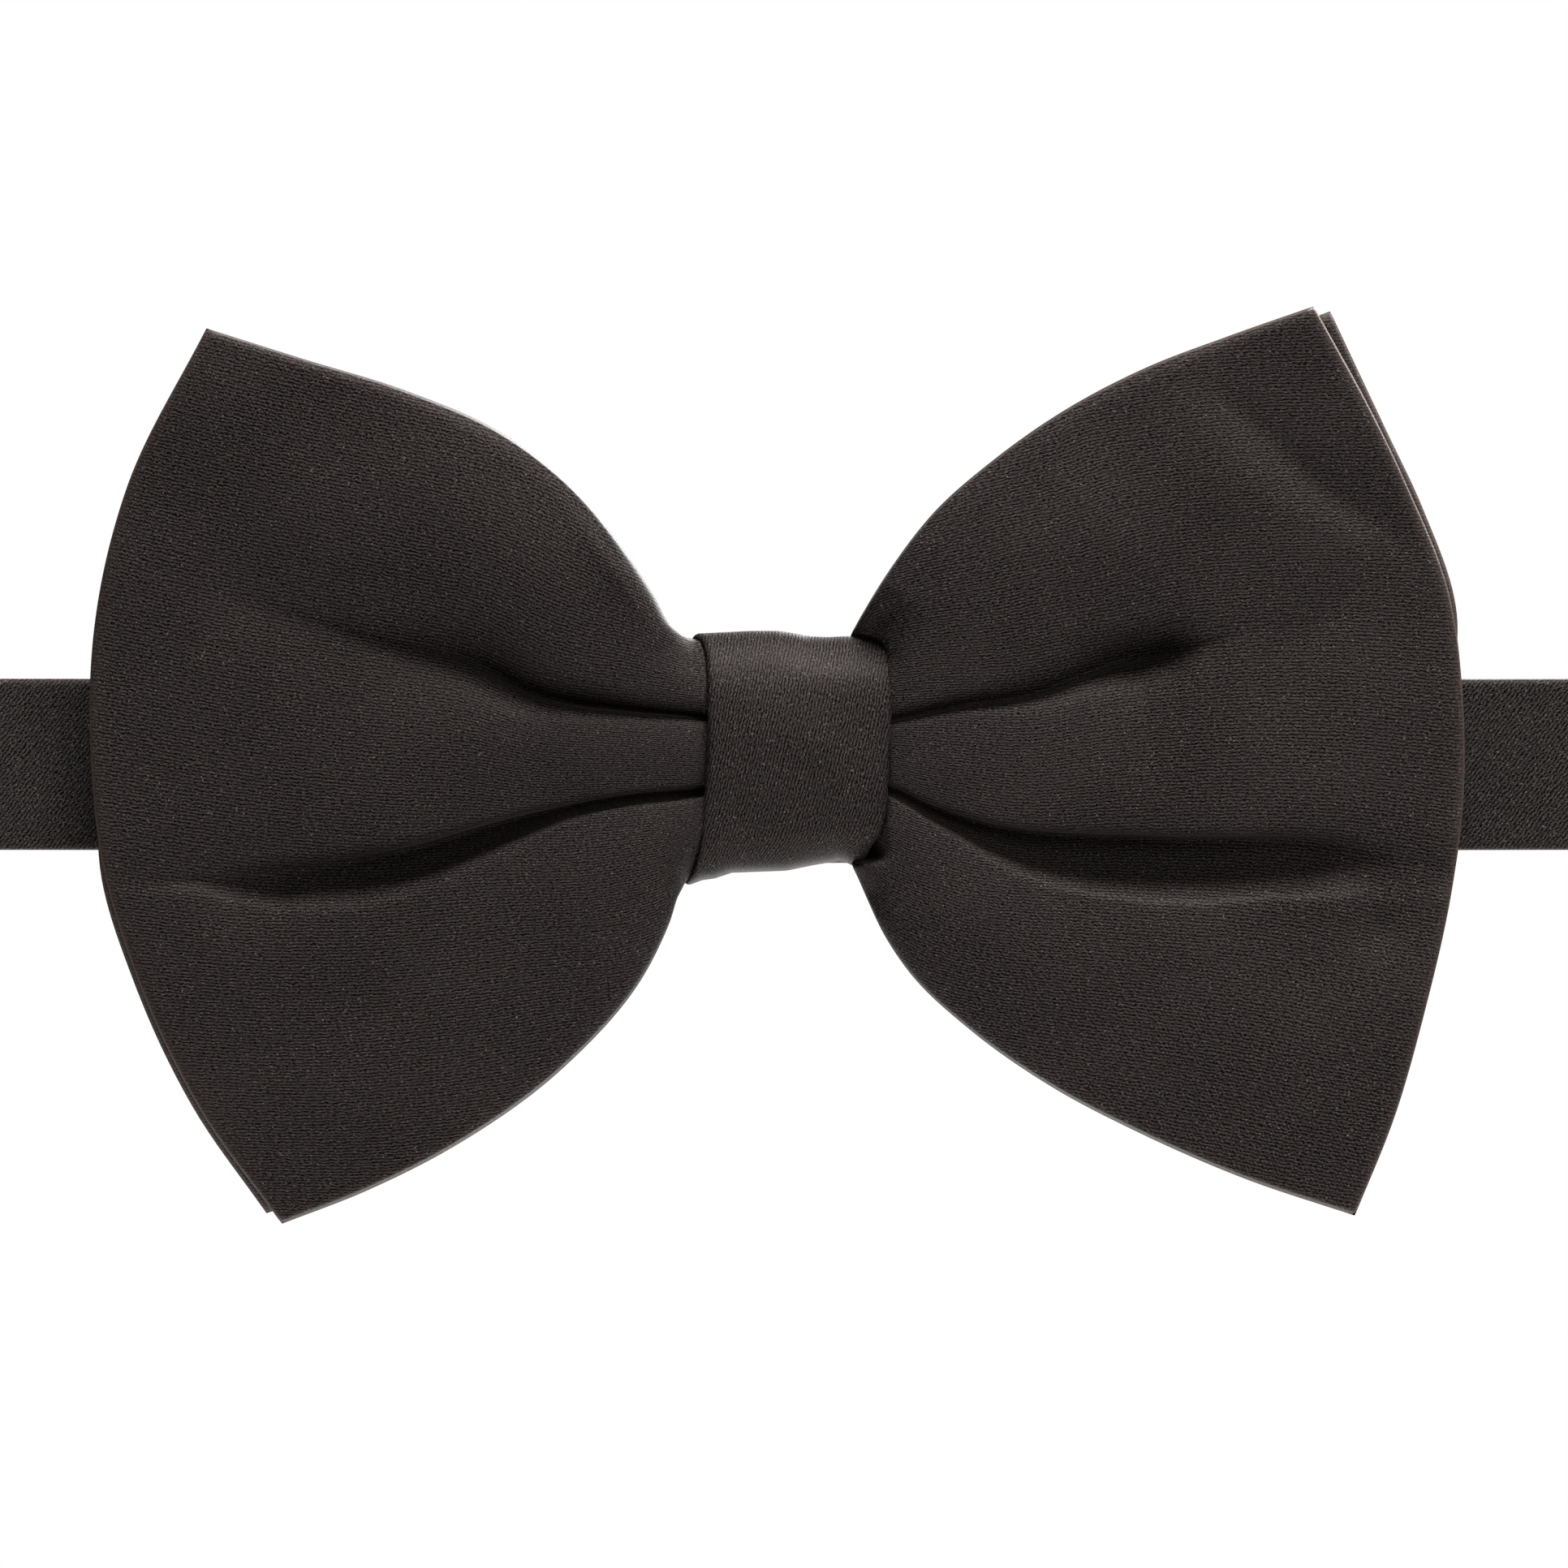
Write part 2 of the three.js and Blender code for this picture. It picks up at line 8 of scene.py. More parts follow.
import bmesh
import bpy
import numpy as np
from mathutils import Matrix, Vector


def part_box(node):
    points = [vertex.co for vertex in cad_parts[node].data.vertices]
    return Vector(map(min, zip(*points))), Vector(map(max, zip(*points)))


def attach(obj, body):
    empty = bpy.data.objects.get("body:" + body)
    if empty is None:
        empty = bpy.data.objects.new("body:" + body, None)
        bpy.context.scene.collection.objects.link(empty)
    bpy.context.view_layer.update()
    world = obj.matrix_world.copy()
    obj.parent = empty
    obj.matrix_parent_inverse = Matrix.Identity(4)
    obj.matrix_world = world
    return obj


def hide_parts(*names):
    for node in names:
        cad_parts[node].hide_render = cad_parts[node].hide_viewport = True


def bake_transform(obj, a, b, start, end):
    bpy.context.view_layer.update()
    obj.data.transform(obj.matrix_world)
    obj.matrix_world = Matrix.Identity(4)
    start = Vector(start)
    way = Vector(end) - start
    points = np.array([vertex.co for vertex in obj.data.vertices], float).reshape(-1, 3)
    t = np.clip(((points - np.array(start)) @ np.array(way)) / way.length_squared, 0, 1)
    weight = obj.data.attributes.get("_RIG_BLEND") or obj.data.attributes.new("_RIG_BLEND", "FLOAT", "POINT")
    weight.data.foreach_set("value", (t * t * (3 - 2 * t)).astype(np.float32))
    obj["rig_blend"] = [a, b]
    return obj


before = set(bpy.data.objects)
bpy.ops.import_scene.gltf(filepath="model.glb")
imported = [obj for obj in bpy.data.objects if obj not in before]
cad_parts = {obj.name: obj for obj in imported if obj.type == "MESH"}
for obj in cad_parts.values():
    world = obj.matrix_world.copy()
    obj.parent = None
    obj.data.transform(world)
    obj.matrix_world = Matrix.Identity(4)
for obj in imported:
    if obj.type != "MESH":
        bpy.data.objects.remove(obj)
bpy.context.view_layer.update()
MM = 0.001

# %% [markdown]
# The camera looks straight at the knot with a long lens, so the two wings are seen without any
# perspective. The object hangs in front of a white cove, far enough above a pale floor.

# %% Camera, floor and soft light
VIEW_WIDTH = 136.7 * MM
CAMERA_AWAY = 1.2
SENSOR = 36.0
WING_PLANE = 6 * MM
VIEW_CENTRE = Vector((-1.2 * MM, 0, -1.7 * MM))
FLOOR_LEVEL, FLOOR_RADIUS = -0.22, 0.9
FLOOR_PAINT = (0.86, 0.86, 0.86, 1)
COVE_SEEN, COVE_GIVEN = 1.0, 0.16
# Each softbox: its name, its place, the point it faces, its size and its power in watts.
SOFTBOXES = [
    ("overhead", (0.14, -0.14, 0.8), (0, 0, 0), (0.6, 0.25), 29.5),
    ("front", (0.6, -0.78, 0.30), (0, 0, 0), (0.6, 0.5), 6.0),
    ("behind", (0.3, 0.8, 0.35), (0, 0.04, 0), (0.5, 0.4), 12.0),
]


def placed(name, data):
    """An object for a camera, lamp or mesh, linked to the scene."""
    piece = bpy.data.objects.new(name, data)
    bpy.context.scene.collection.objects.link(piece)
    return piece


def add_camera():
    data = bpy.data.cameras.new("camera")
    data.sensor_width = SENSOR
    data.lens = SENSOR * CAMERA_AWAY / VIEW_WIDTH
    data.clip_end = 20
    camera = placed("camera", data)
    camera.location = VIEW_CENTRE + Vector((0, -CAMERA_AWAY - WING_PLANE, 0))
    camera.rotation_euler = (math.pi / 2, 0, 0)
    bpy.context.scene.camera = camera


def add_softbox(name, place, aim, size, watts):
    data = bpy.data.lights.new(name, "AREA")
    data.shape = "RECTANGLE"
    data.size, data.size_y = size
    data.energy = watts
    lamp = placed(name, data)
    lamp.location = place
    lamp.rotation_euler = (Vector(aim) - Vector(place)).to_track_quat("-Z", "Y").to_euler()


def add_cove(seen, given):
    """A white surround: as bright as `seen` to the eye, and giving the light of `given`."""
    world = bpy.data.worlds.new("cove")
    world.use_nodes = True
    nodes, links = world.node_tree.nodes, world.node_tree.links
    back = nodes["Background"]
    back.inputs["Color"].default_value = (1, 1, 1, 1)
    path = nodes.new("ShaderNodeLightPath")
    strength = nodes.new("ShaderNodeMapRange")
    strength.inputs["To Min"].default_value = given
    strength.inputs["To Max"].default_value = seen
    links.new(path.outputs["Is Camera Ray"], strength.inputs["Value"])
    links.new(strength.outputs["Result"], back.inputs["Strength"])
    bpy.context.scene.world = world


def add_floor(level, radius):
    bm = bmesh.new()
    bmesh.ops.create_circle(bm, cap_ends=True, segments=96, radius=radius)
    bmesh.ops.translate(bm, verts=bm.verts, vec=(0, 0, level))
    mesh = bpy.data.meshes.new("floor")
    bm.to_mesh(mesh)
    bm.free()
    floor = placed("floor", mesh)
    paint = bpy.data.materials.new("floor_paint")
    paint.use_nodes = True
    shader = paint.node_tree.nodes["Principled BSDF"]
    shader.inputs["Base Color"].default_value = FLOOR_PAINT
    shader.inputs["Roughness"].default_value = 0.9
    mesh.materials.append(paint)


bpy.context.scene.view_settings.view_transform = "Standard"
add_camera()
add_cove(COVE_SEEN, COVE_GIVEN)
for softbox in SOFTBOXES:
    add_softbox(*softbox)
add_floor(FLOOR_LEVEL, FLOOR_RADIUS)
print("camera lens", round(bpy.context.scene.camera.data.lens), "mm")

# %% [markdown]
# Satin is a twill of very fine threads. Long floats lie side by side in slanted ribs about a third
# of a millimetre apart, and a few threads catch the light. One node group makes that pattern from
# the cloth's own UV map, which is in metres, so it follows every fold. The bright threads in it are
# painted highlights: a mask of rare dots that is mixed into the colour. Each material gives the
# pattern its own slant and rib width.

# %% Twill node group


def new_group(name, inputs, outputs):
    group = bpy.data.node_groups.new(name, "ShaderNodeTree")
    for label, kind, value in inputs:
        socket = group.interface.new_socket(label, in_out="INPUT", socket_type=kind)
        if value is not None:
            socket.default_value = value
    for label, kind in outputs:
        group.interface.new_socket(label, in_out="OUTPUT", socket_type=kind)
    return group, group.nodes.new("NodeGroupInput"), group.nodes.new("NodeGroupOutput")


def join_up(tree, *pairs):
    for source, target in pairs:
        tree.links.new(source, target)


def maths(tree, operation, *values):
    node = tree.nodes.new("ShaderNodeMath")
    node.operation = operation
    for socket, value in zip(node.inputs, values):
        if isinstance(value, (int, float)):
            socket.default_value = value
        else:
            tree.links.new(value, socket)
    return node.outputs[0]


def noise(tree, vector, scale, detail=2.0, roughness=0.5):
    node = tree.nodes.new("ShaderNodeTexNoise")
    node.inputs["Scale"].default_value = scale
    node.inputs["Detail"].default_value = detail
    node.inputs["Roughness"].default_value = roughness
    tree.links.new(vector, node.inputs["Vector"])
    return node.outputs["Fac"]


def turned(tree, vector, angle, scale=(1, 1, 1)):
    """The vector turned by an angle socket, then scaled."""
    spin = tree.nodes.new("ShaderNodeVectorRotate")
    spin.rotation_type = "Z_AXIS"
    stretch = tree.nodes.new("ShaderNodeVectorMath")
    stretch.operation = "MULTIPLY"
    stretch.inputs[1].default_value = scale
    join_up(tree, (vector, spin.inputs["Vector"]), (angle, spin.inputs["Angle"]),
            (spin.outputs["Vector"], stretch.inputs[0]))
    return stretch.outputs["Vector"]


def waves(tree, value, pitch, shift, amount):
    """Ribs of the given pitch along a coordinate, pushed about by a shift, from 0 to 1."""
    steps = maths(tree, "DIVIDE", value, pitch)
    steps = maths(tree, "MULTIPLY_ADD", shift, amount, steps)
    swing = maths(tree, "SINE", maths(tree, "MULTIPLY", steps, math.tau))
    return maths(tree, "MULTIPLY_ADD", swing, 0.5, 0.5)


# Pattern sizes, in repeats per metre of cloth. A float is long along its thread, narrow across it.
WANDER_SCALE, MOTTLE_SCALE, CLOUD_SCALE, PAINTED_GLINT_SCALE = 1400.0, 5200.0, 70.0, 11000.0
FLOAT_SCALE = (3600.0, 10500.0, 1)
RIB_WANDER, STEP_WANDER = 1.3, 1.6
STEP_SKEW, STEP_PITCH = 0.8, 0.9
# Painted highlights: the share of the dots that shine, and how unevenly bright they are.
PAINTED_GLINT_SHARE, PAINTED_GLINT_CONTRAST = 0.03, 2.0
RIB_RAISE, FLOAT_RAISE = 0.5, 0.8
# How strongly each pattern moves the shade, and the level that brings their average to MEAN_SHADE.
RIB_TONE, STEP_TONE, FLOAT_TONE, MOTTLE_TONE, CLOUD_TONE = 0.7, 0.3, 2.6, 2.2, 0.35
MEAN_SHADE = 0.42
SHADE_LEVEL = MEAN_SHADE - (RIB_TONE + STEP_TONE + FLOAT_TONE + MOTTLE_TONE + CLOUD_TONE) / 2


def twill_group():
    tree, given, out = new_group(
        "twill",
        [("Vector", "NodeSocketVector", None), ("Slant", "NodeSocketFloat", 0.0),
         ("Rib", "NodeSocketFloat", 0.32 * MM), ("Painted Glints", "NodeSocketFloat", 0.5)],
        [("Shade", "NodeSocketFloat"), ("Painted Glint", "NodeSocketFloat"), ("Height", "NodeSocketFloat")],
    )
    flat = given.outputs["Vector"]
    cloth = turned(tree, flat, given.outputs["Slant"])
    split = tree.nodes.new("ShaderNodeSeparateXYZ")
    tree.links.new(cloth, split.inputs["Vector"])
    wander = noise(tree, cloth, WANDER_SCALE, 2.0)
    rib = waves(tree, split.outputs["Y"], given.outputs["Rib"], wander, RIB_WANDER)
    skew = maths(tree, "MULTIPLY_ADD", split.outputs["X"], STEP_SKEW, split.outputs["Y"])
    step_pitch = maths(tree, "MULTIPLY", given.outputs["Rib"], STEP_PITCH)
    step = waves(tree, skew, step_pitch, wander, STEP_WANDER)
    floats = turned(tree, flat, given.outputs["Slant"], FLOAT_SCALE)
    float_tone = noise(tree, floats, 1.0, 1.0, 0.6)
    mottle = noise(tree, flat, MOTTLE_SCALE, 2.0, 0.8)
    cloud = noise(tree, flat, CLOUD_SCALE, 3.0)
    shade = maths(tree, "MULTIPLY_ADD", rib, RIB_TONE, SHADE_LEVEL)
    for pattern, amount in ((step, STEP_TONE), (float_tone, FLOAT_TONE), (mottle, MOTTLE_TONE),
                            (cloud, CLOUD_TONE)):
        shade = maths(tree, "MULTIPLY_ADD", pattern, amount, shade)
    shade = maths(tree, "MAXIMUM", shade, 0.0)
    # Painted highlights: a rare few of the Voronoi cells become bright spots, which the satin mixes into its
    # colour.
    dots = tree.nodes.new("ShaderNodeTexVoronoi")
    dots.inputs["Scale"].default_value = PAINTED_GLINT_SCALE
    tree.links.new(flat, dots.inputs["Vector"])
    dot_pick = tree.nodes.new("ShaderNodeSeparateColor")
    tree.links.new(dots.outputs["Color"], dot_pick.inputs["Color"])
    share = maths(tree, "MULTIPLY", given.outputs["Painted Glints"], PAINTED_GLINT_SHARE)
    rare = maths(tree, "SUBTRACT", 1.0, share)
    chosen = maths(tree, "GREATER_THAN", dot_pick.outputs["Red"], rare)
    strength = maths(tree, "POWER", dot_pick.outputs["Green"], PAINTED_GLINT_CONTRAST)
    painted_glint = maths(tree, "MULTIPLY", chosen, strength)
    raised = maths(tree, "MULTIPLY", float_tone, FLOAT_RAISE)
    height = maths(tree, "MULTIPLY_ADD", rib, RIB_RAISE, raised)
    join_up(tree, (shade, out.inputs["Shade"]), (painted_glint, out.inputs["Painted Glint"]),
            (height, out.inputs["Height"]))
    return tree


twill = twill_group()
print("twill group sockets:", [s.name for s in twill.interface.items_tree])

# %% [markdown]
# Each satin material mixes a dark and a lighter thread colour by the twill's shade, adds the rare
# painted highlights of the bright threads and a faint painted line where the cloth is folded, and
# raises the ribs with a fine bump. That line is a painted highlight on the bow and the band, and a
# painted shade along the knot's rims. The sheen makes the cloth brighten where it turns away. Its
# weight reads the fold lines and fades out there, since a folded edge would otherwise draw a bright
# line. The price is in an exported model, which can't carry a linked sheen and leaves it out.

# %% Satin materials


def base_material(name):
    material = bpy.data.materials.new(name)
    material.use_nodes = True
    tree = material.node_tree
    return material, tree, tree.nodes["Principled BSDF"]


def mix_colour(tree, factor, a, b):
    node = tree.nodes.new("ShaderNodeMix")
    node.data_type = "RGBA"
    node.clamp_factor = False
    for value, socket in ((factor, node.inputs[0]), (a, node.inputs[6]), (b, node.inputs[7])):
        if isinstance(value, (int, float, tuple)):
            socket.default_value = value
        else:
            tree.links.new(value, socket)
    return node.outputs[2]


def add_relief(tree, shader, height, distance, strength=1.0):
    bump = tree.nodes.new("ShaderNodeBump")
    bump.inputs["Strength"].default_value = strength
    bump.inputs["Distance"].default_value = distance
    join_up(tree, (height, bump.inputs["Height"]), (bump.outputs["Normal"], shader.inputs["Normal"]))


# Painted light along a folded edge: a painted highlight for the bow and the band, and a painted shade for
# the knot's rims.
PAINTED_FOLD_HIGHLIGHT = (0.062, 0.043, 0.036)
PAINTED_FOLD_SHADE = (0.0025, 0.0021, 0.0020)
# Colour of the painted highlights on the bright threads.
PAINTED_GLINT_COLOUR = (0.10, 0.085, 0.078, 1)
SATIN_ROUGHNESS, SHEEN_ROUGHNESS = 0.42, 0.22
GLOSS_TINT = (1.0, 0.84, 0.78, 1)
SHEEN_TINT = (0.9, 0.78, 0.72, 1)
RIB_STRENGTH, RIB_DISTANCE = 0.55, 0.04 * MM


# The edge colour, mixed in along the fold lines, is painted light: a highlight, or a shade on the knot.
def satin(name, slant, rib, dark, light, painted_glints, painted_fold_share=0.5, sheen=0.12, edge=PAINTED_FOLD_HIGHLIGHT,
          gloss=0.011):
    material, tree, shader = base_material(name)
    uv = tree.nodes.new("ShaderNodeUVMap")
    uv.uv_map = "cloth"
    weave = tree.nodes.new("ShaderNodeGroup")
    weave.node_tree = twill
    weave.inputs["Slant"].default_value = slant
    weave.inputs["Rib"].default_value = rib
    weave.inputs["Painted Glints"].default_value = painted_glints
    fold = tree.nodes.new("ShaderNodeAttribute")
    fold.attribute_name = "fold_line"
    add_relief(tree, shader, weave.outputs["Height"], RIB_DISTANCE, RIB_STRENGTH)
    tone = mix_colour(tree, weave.outputs["Shade"], (*dark, 1), (*light, 1))
    # Painted highlights: the bright thread dots go into the colour.
    tone = mix_colour(tree, weave.outputs["Painted Glint"], tone, PAINTED_GLINT_COLOUR)
    # Painted light along the fold line: a painted highlight, or on the knot a painted shade.
    painted_fold_mix = maths(tree, "MULTIPLY", fold.outputs["Fac"], painted_fold_share)
    tone = mix_colour(tree, painted_fold_mix, tone, (*edge, 1))
    fading_sheen = maths(tree, "MULTIPLY_ADD", fold.outputs["Fac"], -sheen, sheen)
    join_up(tree, (uv.outputs["UV"], weave.inputs["Vector"]),
            (fading_sheen, shader.inputs["Sheen Weight"]),
            (tone, shader.inputs["Base Color"]))
    shader.inputs["Roughness"].default_value = SATIN_ROUGHNESS
    shader.inputs["Specular IOR Level"].default_value = gloss
    shader.inputs["Specular Tint"].default_value = GLOSS_TINT
    shader.inputs["Sheen Roughness"].default_value = SHEEN_ROUGHNESS
    shader.inputs["Sheen Tint"].default_value = SHEEN_TINT
    return material


THREAD_DARK = (0.0012, 0.0010, 0.0009)
THREAD_LIGHT = (0.0300, 0.0254, 0.0244)
BAND_LIGHT = (0.032, 0.0285, 0.0272)
bow_satin = satin("bow_satin", math.radians(4), 0.32 * MM, THREAD_DARK, THREAD_LIGHT, painted_glints=0.6)
# The knot's fold lines get the painted shade instead of the painted highlight.
knot_satin = satin("knot_satin", math.radians(78), 0.28 * MM, THREAD_DARK, THREAD_LIGHT, painted_glints=0.9,
                   painted_fold_share=0.7, sheen=0.16, edge=PAINTED_FOLD_SHADE, gloss=0.021)
band_satin = satin("band_satin", math.radians(-52), 0.32 * MM, THREAD_DARK, BAND_LIGHT, painted_glints=1.6,
                   painted_fold_share=0.15)
print("satin materials:", bow_satin.name, knot_satin.name, band_satin.name)

# %% [markdown]
# Sewing thread and canvas are matt and fine-grained: noise on Object coordinates stands for the
# thread's ply and the canvas's weave, in the colour and in a bump. The nickel plate gets stretched
# noise for its brushing and a slow noise for the smudges of handling.

# %% Thread, canvas and metal


def grained(name, scale, dark, light, height, roughness):
    material, tree, shader = base_material(name)
    place = tree.nodes.new("ShaderNodeTexCoord")
    grain = noise(tree, place.outputs["Object"], scale, 2.0)
    tone = mix_colour(tree, grain, (*dark, 1), (*light, 1))
    add_relief(tree, shader, grain, height)
    tree.links.new(tone, shader.inputs["Base Color"])
    shader.inputs["Roughness"].default_value = roughness
    return material


def nickel_material():
    material, tree, shader = base_material("nickel")
    place = tree.nodes.new("ShaderNodeTexCoord")
    stretch = tree.nodes.new("ShaderNodeMapping")
    stretch.inputs["Scale"].default_value = (1, 1, 14)
    tree.links.new(place.outputs["Object"], stretch.inputs["Vector"])
    brushed = noise(tree, stretch.outputs["Vector"], 700.0, 3.0, 0.6)
    smudge = noise(tree, place.outputs["Object"], 140.0, 3.0)
    rough = maths(tree, "MULTIPLY_ADD", smudge, 0.22, 0.16)
    rough = maths(tree, "MULTIPLY_ADD", brushed, 0.1, rough)
    tone = mix_colour(tree, smudge, (0.20, 0.19, 0.175, 1), (0.30, 0.29, 0.275, 1))
    add_relief(tree, shader, brushed, 0.02 * MM, 0.2)
    join_up(tree, (tone, shader.inputs["Base Color"]), (rough, shader.inputs["Roughness"]))
    shader.inputs["Metallic"].default_value = 1.0
    return material


thread = grained("thread", 5200.0, (0.004, 0.0035, 0.0033), (0.022, 0.019, 0.018), 0.05 * MM, 0.6)
canvas = grained("canvas", 2400.0, (0.42, 0.40, 0.36), (0.72, 0.70, 0.65), 0.1 * MM, 0.95)
nickel = nickel_material()
print("trims:", thread.name, canvas.name, nickel.name)

# %% [markdown]
# Every cloth piece here starts as a flat grid, as a cut length of cloth does, and is then moved
# into place row by row. Two such grids, a face and a back that share their rim, make a turned
# pocket of satin. The helper below lays a grid over a table of points, gives it the cloth's UV map
# in metres and marks the fold line along its rim.

# %% Grid helpers


def new_cloth():
    """An empty bmesh with the two things that each cloth carries: its UV map and its fold lines."""
    bm = bmesh.new()
    bm.loops.layers.uv.new("cloth")
    bm.verts.layers.float.new("fold_line")
    return bm


def lay_grid(bm, points, uv, fold):
    """Add a grid whose vertices sit at points[column, row], with that vertex's UV and fold line."""
    columns, rows = points.shape[0] - 1, points.shape[1] - 1
    made = bmesh.ops.create_grid(bm, x_segments=columns, y_segments=rows, size=0.5)["verts"]
    uv_layer, fold_layer = bm.loops.layers.uv["cloth"], bm.verts.layers.float["fold_line"]
    for vert in made:
        i, j = round((vert.co.x + 0.5) * columns), round((vert.co.y + 0.5) * rows)
        vert.co = points[i, j]
        vert[fold_layer] = float(fold[i, j])
        for loop in vert.link_loops:
            loop[uv_layer].uv = uv[i, j]


def finish_cloth(bm, name, material, weld=1e-7):
    """Weld the rims that grids share, point the faces outwards and make the object."""
    bmesh.ops.remove_doubles(bm, verts=bm.verts, dist=weld)
    bmesh.ops.recalc_face_normals(bm, faces=bm.faces)
    for face in bm.faces:
        face.smooth = True
    mesh = bpy.data.meshes.new(name)
    bm.to_mesh(mesh)
    bm.free()
    mesh.materials.append(material)
    return placed(name, mesh)


def through(points, t):
    """Smooth curve through the points, at each share t of its length."""
    p = np.array(points, float)
    knots = np.concatenate([[0], np.cumsum(np.linalg.norm(np.diff(p, axis=0), axis=1))])
    knots /= knots[-1]
    slope = np.gradient(p, knots, axis=0)
    k = np.clip(np.searchsorted(knots, t, side="right") - 1, 0, len(p) - 2)
    span = (knots[k + 1] - knots[k])[..., None]
    s = ((t - knots[k]) / (knots[k + 1] - knots[k]))[..., None]
    return ((1 + 2 * s) * (1 - s) ** 2 * p[k] + s * (1 - s) ** 2 * span * slope[k]
            + s * s * (3 - 2 * s) * p[k + 1] + s * s * (s - 1) * span * slope[k + 1])


def smoothstep(value, low, high):
    t = np.clip((value - low) / (high - low), 0, 1)
    return t * t * (3 - 2 * t)


print("grid helpers ready")

# %% [markdown]
# A wing is gathered under the knot into three lobes with two pleats between them, and the pleats
# die out towards the outer edge. So the wing is laid out from four lines that fan out from the
# knot (bottom edge, lower pleat, upper pleat, top edge) and the outer edge. Rows follow the pleats,
# which keeps them crisp. All of these are in millimetres as (x, z), seen from the front.

# %% The wings' outlines
LEFT_FRONT = {
    "bottom": [(-5.5, -6.5), (-8.3, -8.6), (-10.1, -10.8), (-11.2, -13.9), (-13.3, -18.2), (-20.4, -26.4),
               (-30, -33.3), (-37.5, -37.1), (-44.9, -40)],
    "lower": [(-5.5, -1.5), (-8.3, -2.1), (-14.4, -2.7), (-25.8, -5.1), (-33.7, -7.4), (-45, -9.4),
              (-53, -10), (-60.5, -10.5)],
    "upper": [(-5.5, 3.5), (-8.3, 4.1), (-14.4, 4.7), (-22.6, 6.1), (-29, 9.4), (-38, 11.8),
              (-50, 14.6), (-60.2, 17.5)],
    "top": [(-5.5, 10.2), (-8.3, 10.8), (-9.6, 11.1), (-10.8, 11.9), (-12.7, 15), (-15, 18.5), (-19.5, 24),
            (-26, 29), (-34, 32.5), (-43, 35.3), (-51.5, 38)],
    "outer": [(-44.9, -40), (-51.9, -30.3), (-57.4, -19), (-60.5, -9), (-61.6, 1), (-61.4, 11),
              (-58.5, 24), (-51.5, 38)],
}
RIGHT_FRONT = {
    "bottom": [(4.6, -6.5), (4.7, -8.7), (5.2, -9.8), (5.9, -11.4), (7.5, -14.8),
               (9.8, -18.2), (15, -23.1), (22, -28), (30, -32.2), (39, -36.1), (48.5, -39.3)],
    "lower": [(4.6, -1.5), (8.2, -2.1), (11.5, -3.6), (15.5, -5), (31.4, -6.5), (47.3, -7),
              (57.2, -9.3)],
    "upper": [(4.6, 3.3), (8.2, 3.9), (13.9, 5.1), (20.3, 6.1), (27, 8.6), (34, 10.6), (46, 12.5),
              (57.2, 14)],
    "top": [(4.6, 8.6), (4.6, 11.2), (5.1, 12.2), (5.9, 13.6), (8.1, 17.1),
            (12, 22.1), (16.9, 26.4), (23.5, 31), (30, 34.4), (37.5, 37.3), (44.9, 39.9)],
    "outer": [(48.5, -39.3), (52.1, -30.3), (54.8, -20.7), (56.6, -13), (57.3, -9), (57.9, -4),
              (57.9, 6), (56.8, 14.6), (53, 24.4), (49.8, 31), (44.9, 39.9)],
}
LEFT_BACK = {
    "bottom": [(-5.5, -6.2), (-8.3, -7.9), (-10.5, -11.6), (-14.4, -18.4), (-21.4, -26), (-30, -32.3),
               (-38, -36.3), (-46.4, -39.2)],
    "lower": [(-5.5, -1.5), (-8.3, -2.1), (-25.8, -5.1), (-45, -9.4), (-61, -11)],
    "upper": [(-5.5, 3.5), (-8.3, 4.1), (-22.6, 6.1), (-38, 11.8), (-60.3, 16)],
    "top": [(-5.5, 8.2), (-8.3, 9), (-10.9, 10.8), (-15.3, 17.3), (-20, 23), (-26.4, 28), (-34.5, 31.4),
            (-43, 34.1), (-50.6, 36.4)],
    "outer": [(-46.4, -39.2), (-52.8, -30), (-58, -19), (-60.9, -9.5), (-60.9, 1), (-60.6, 11),
              (-57.6, 23.5), (-50.6, 36.4)],
}
RIGHT_BACK = {
    "bottom": [(5.5, -6.2), (7.8, -9.3), (9.4, -13), (12.2, -19.2), (16.5, -23), (23, -27),
               (31, -31.2), (39.6, -35), (47.6, -38)],
    "lower": [(5.5, -1.5), (8.2, -2.1), (31.4, -6.5), (56.4, -9.3)],
    "upper": [(5.5, 3.3), (8.2, 3.9), (27, 8.6), (57.2, 13)],
    "top": [(5.5, 8.2), (8, 12), (9.6, 16.4), (13, 21.1), (17.6, 25.2), (24, 29.8), (30.5, 33.2),
            (38, 36.4), (46.5, 39.6)],
    "outer": [(47.6, -38), (51.3, -30), (54, -20.7), (56.4, -9), (57, -4), (57.2, 6), (57.6, 13),
              (54.6, 22.4), (51.4, 29.2), (46.5, 39.6)],
}
LOBE_ROWS = {"front": (46, 38, 50), "back": (26, 20, 28)}
WING_COLUMNS = {"front": 130, "back": 70}
WAIST_COLUMNS = 6
OUTER_STEPS = 399


def eased(count, ends=0.35):
    """Shares from 0 to 1, closer together at both ends."""
    t = np.linspace(0, 1, count + 1)
    return (1 - ends) * t + ends * (1 - np.cos(np.pi * t)) / 2


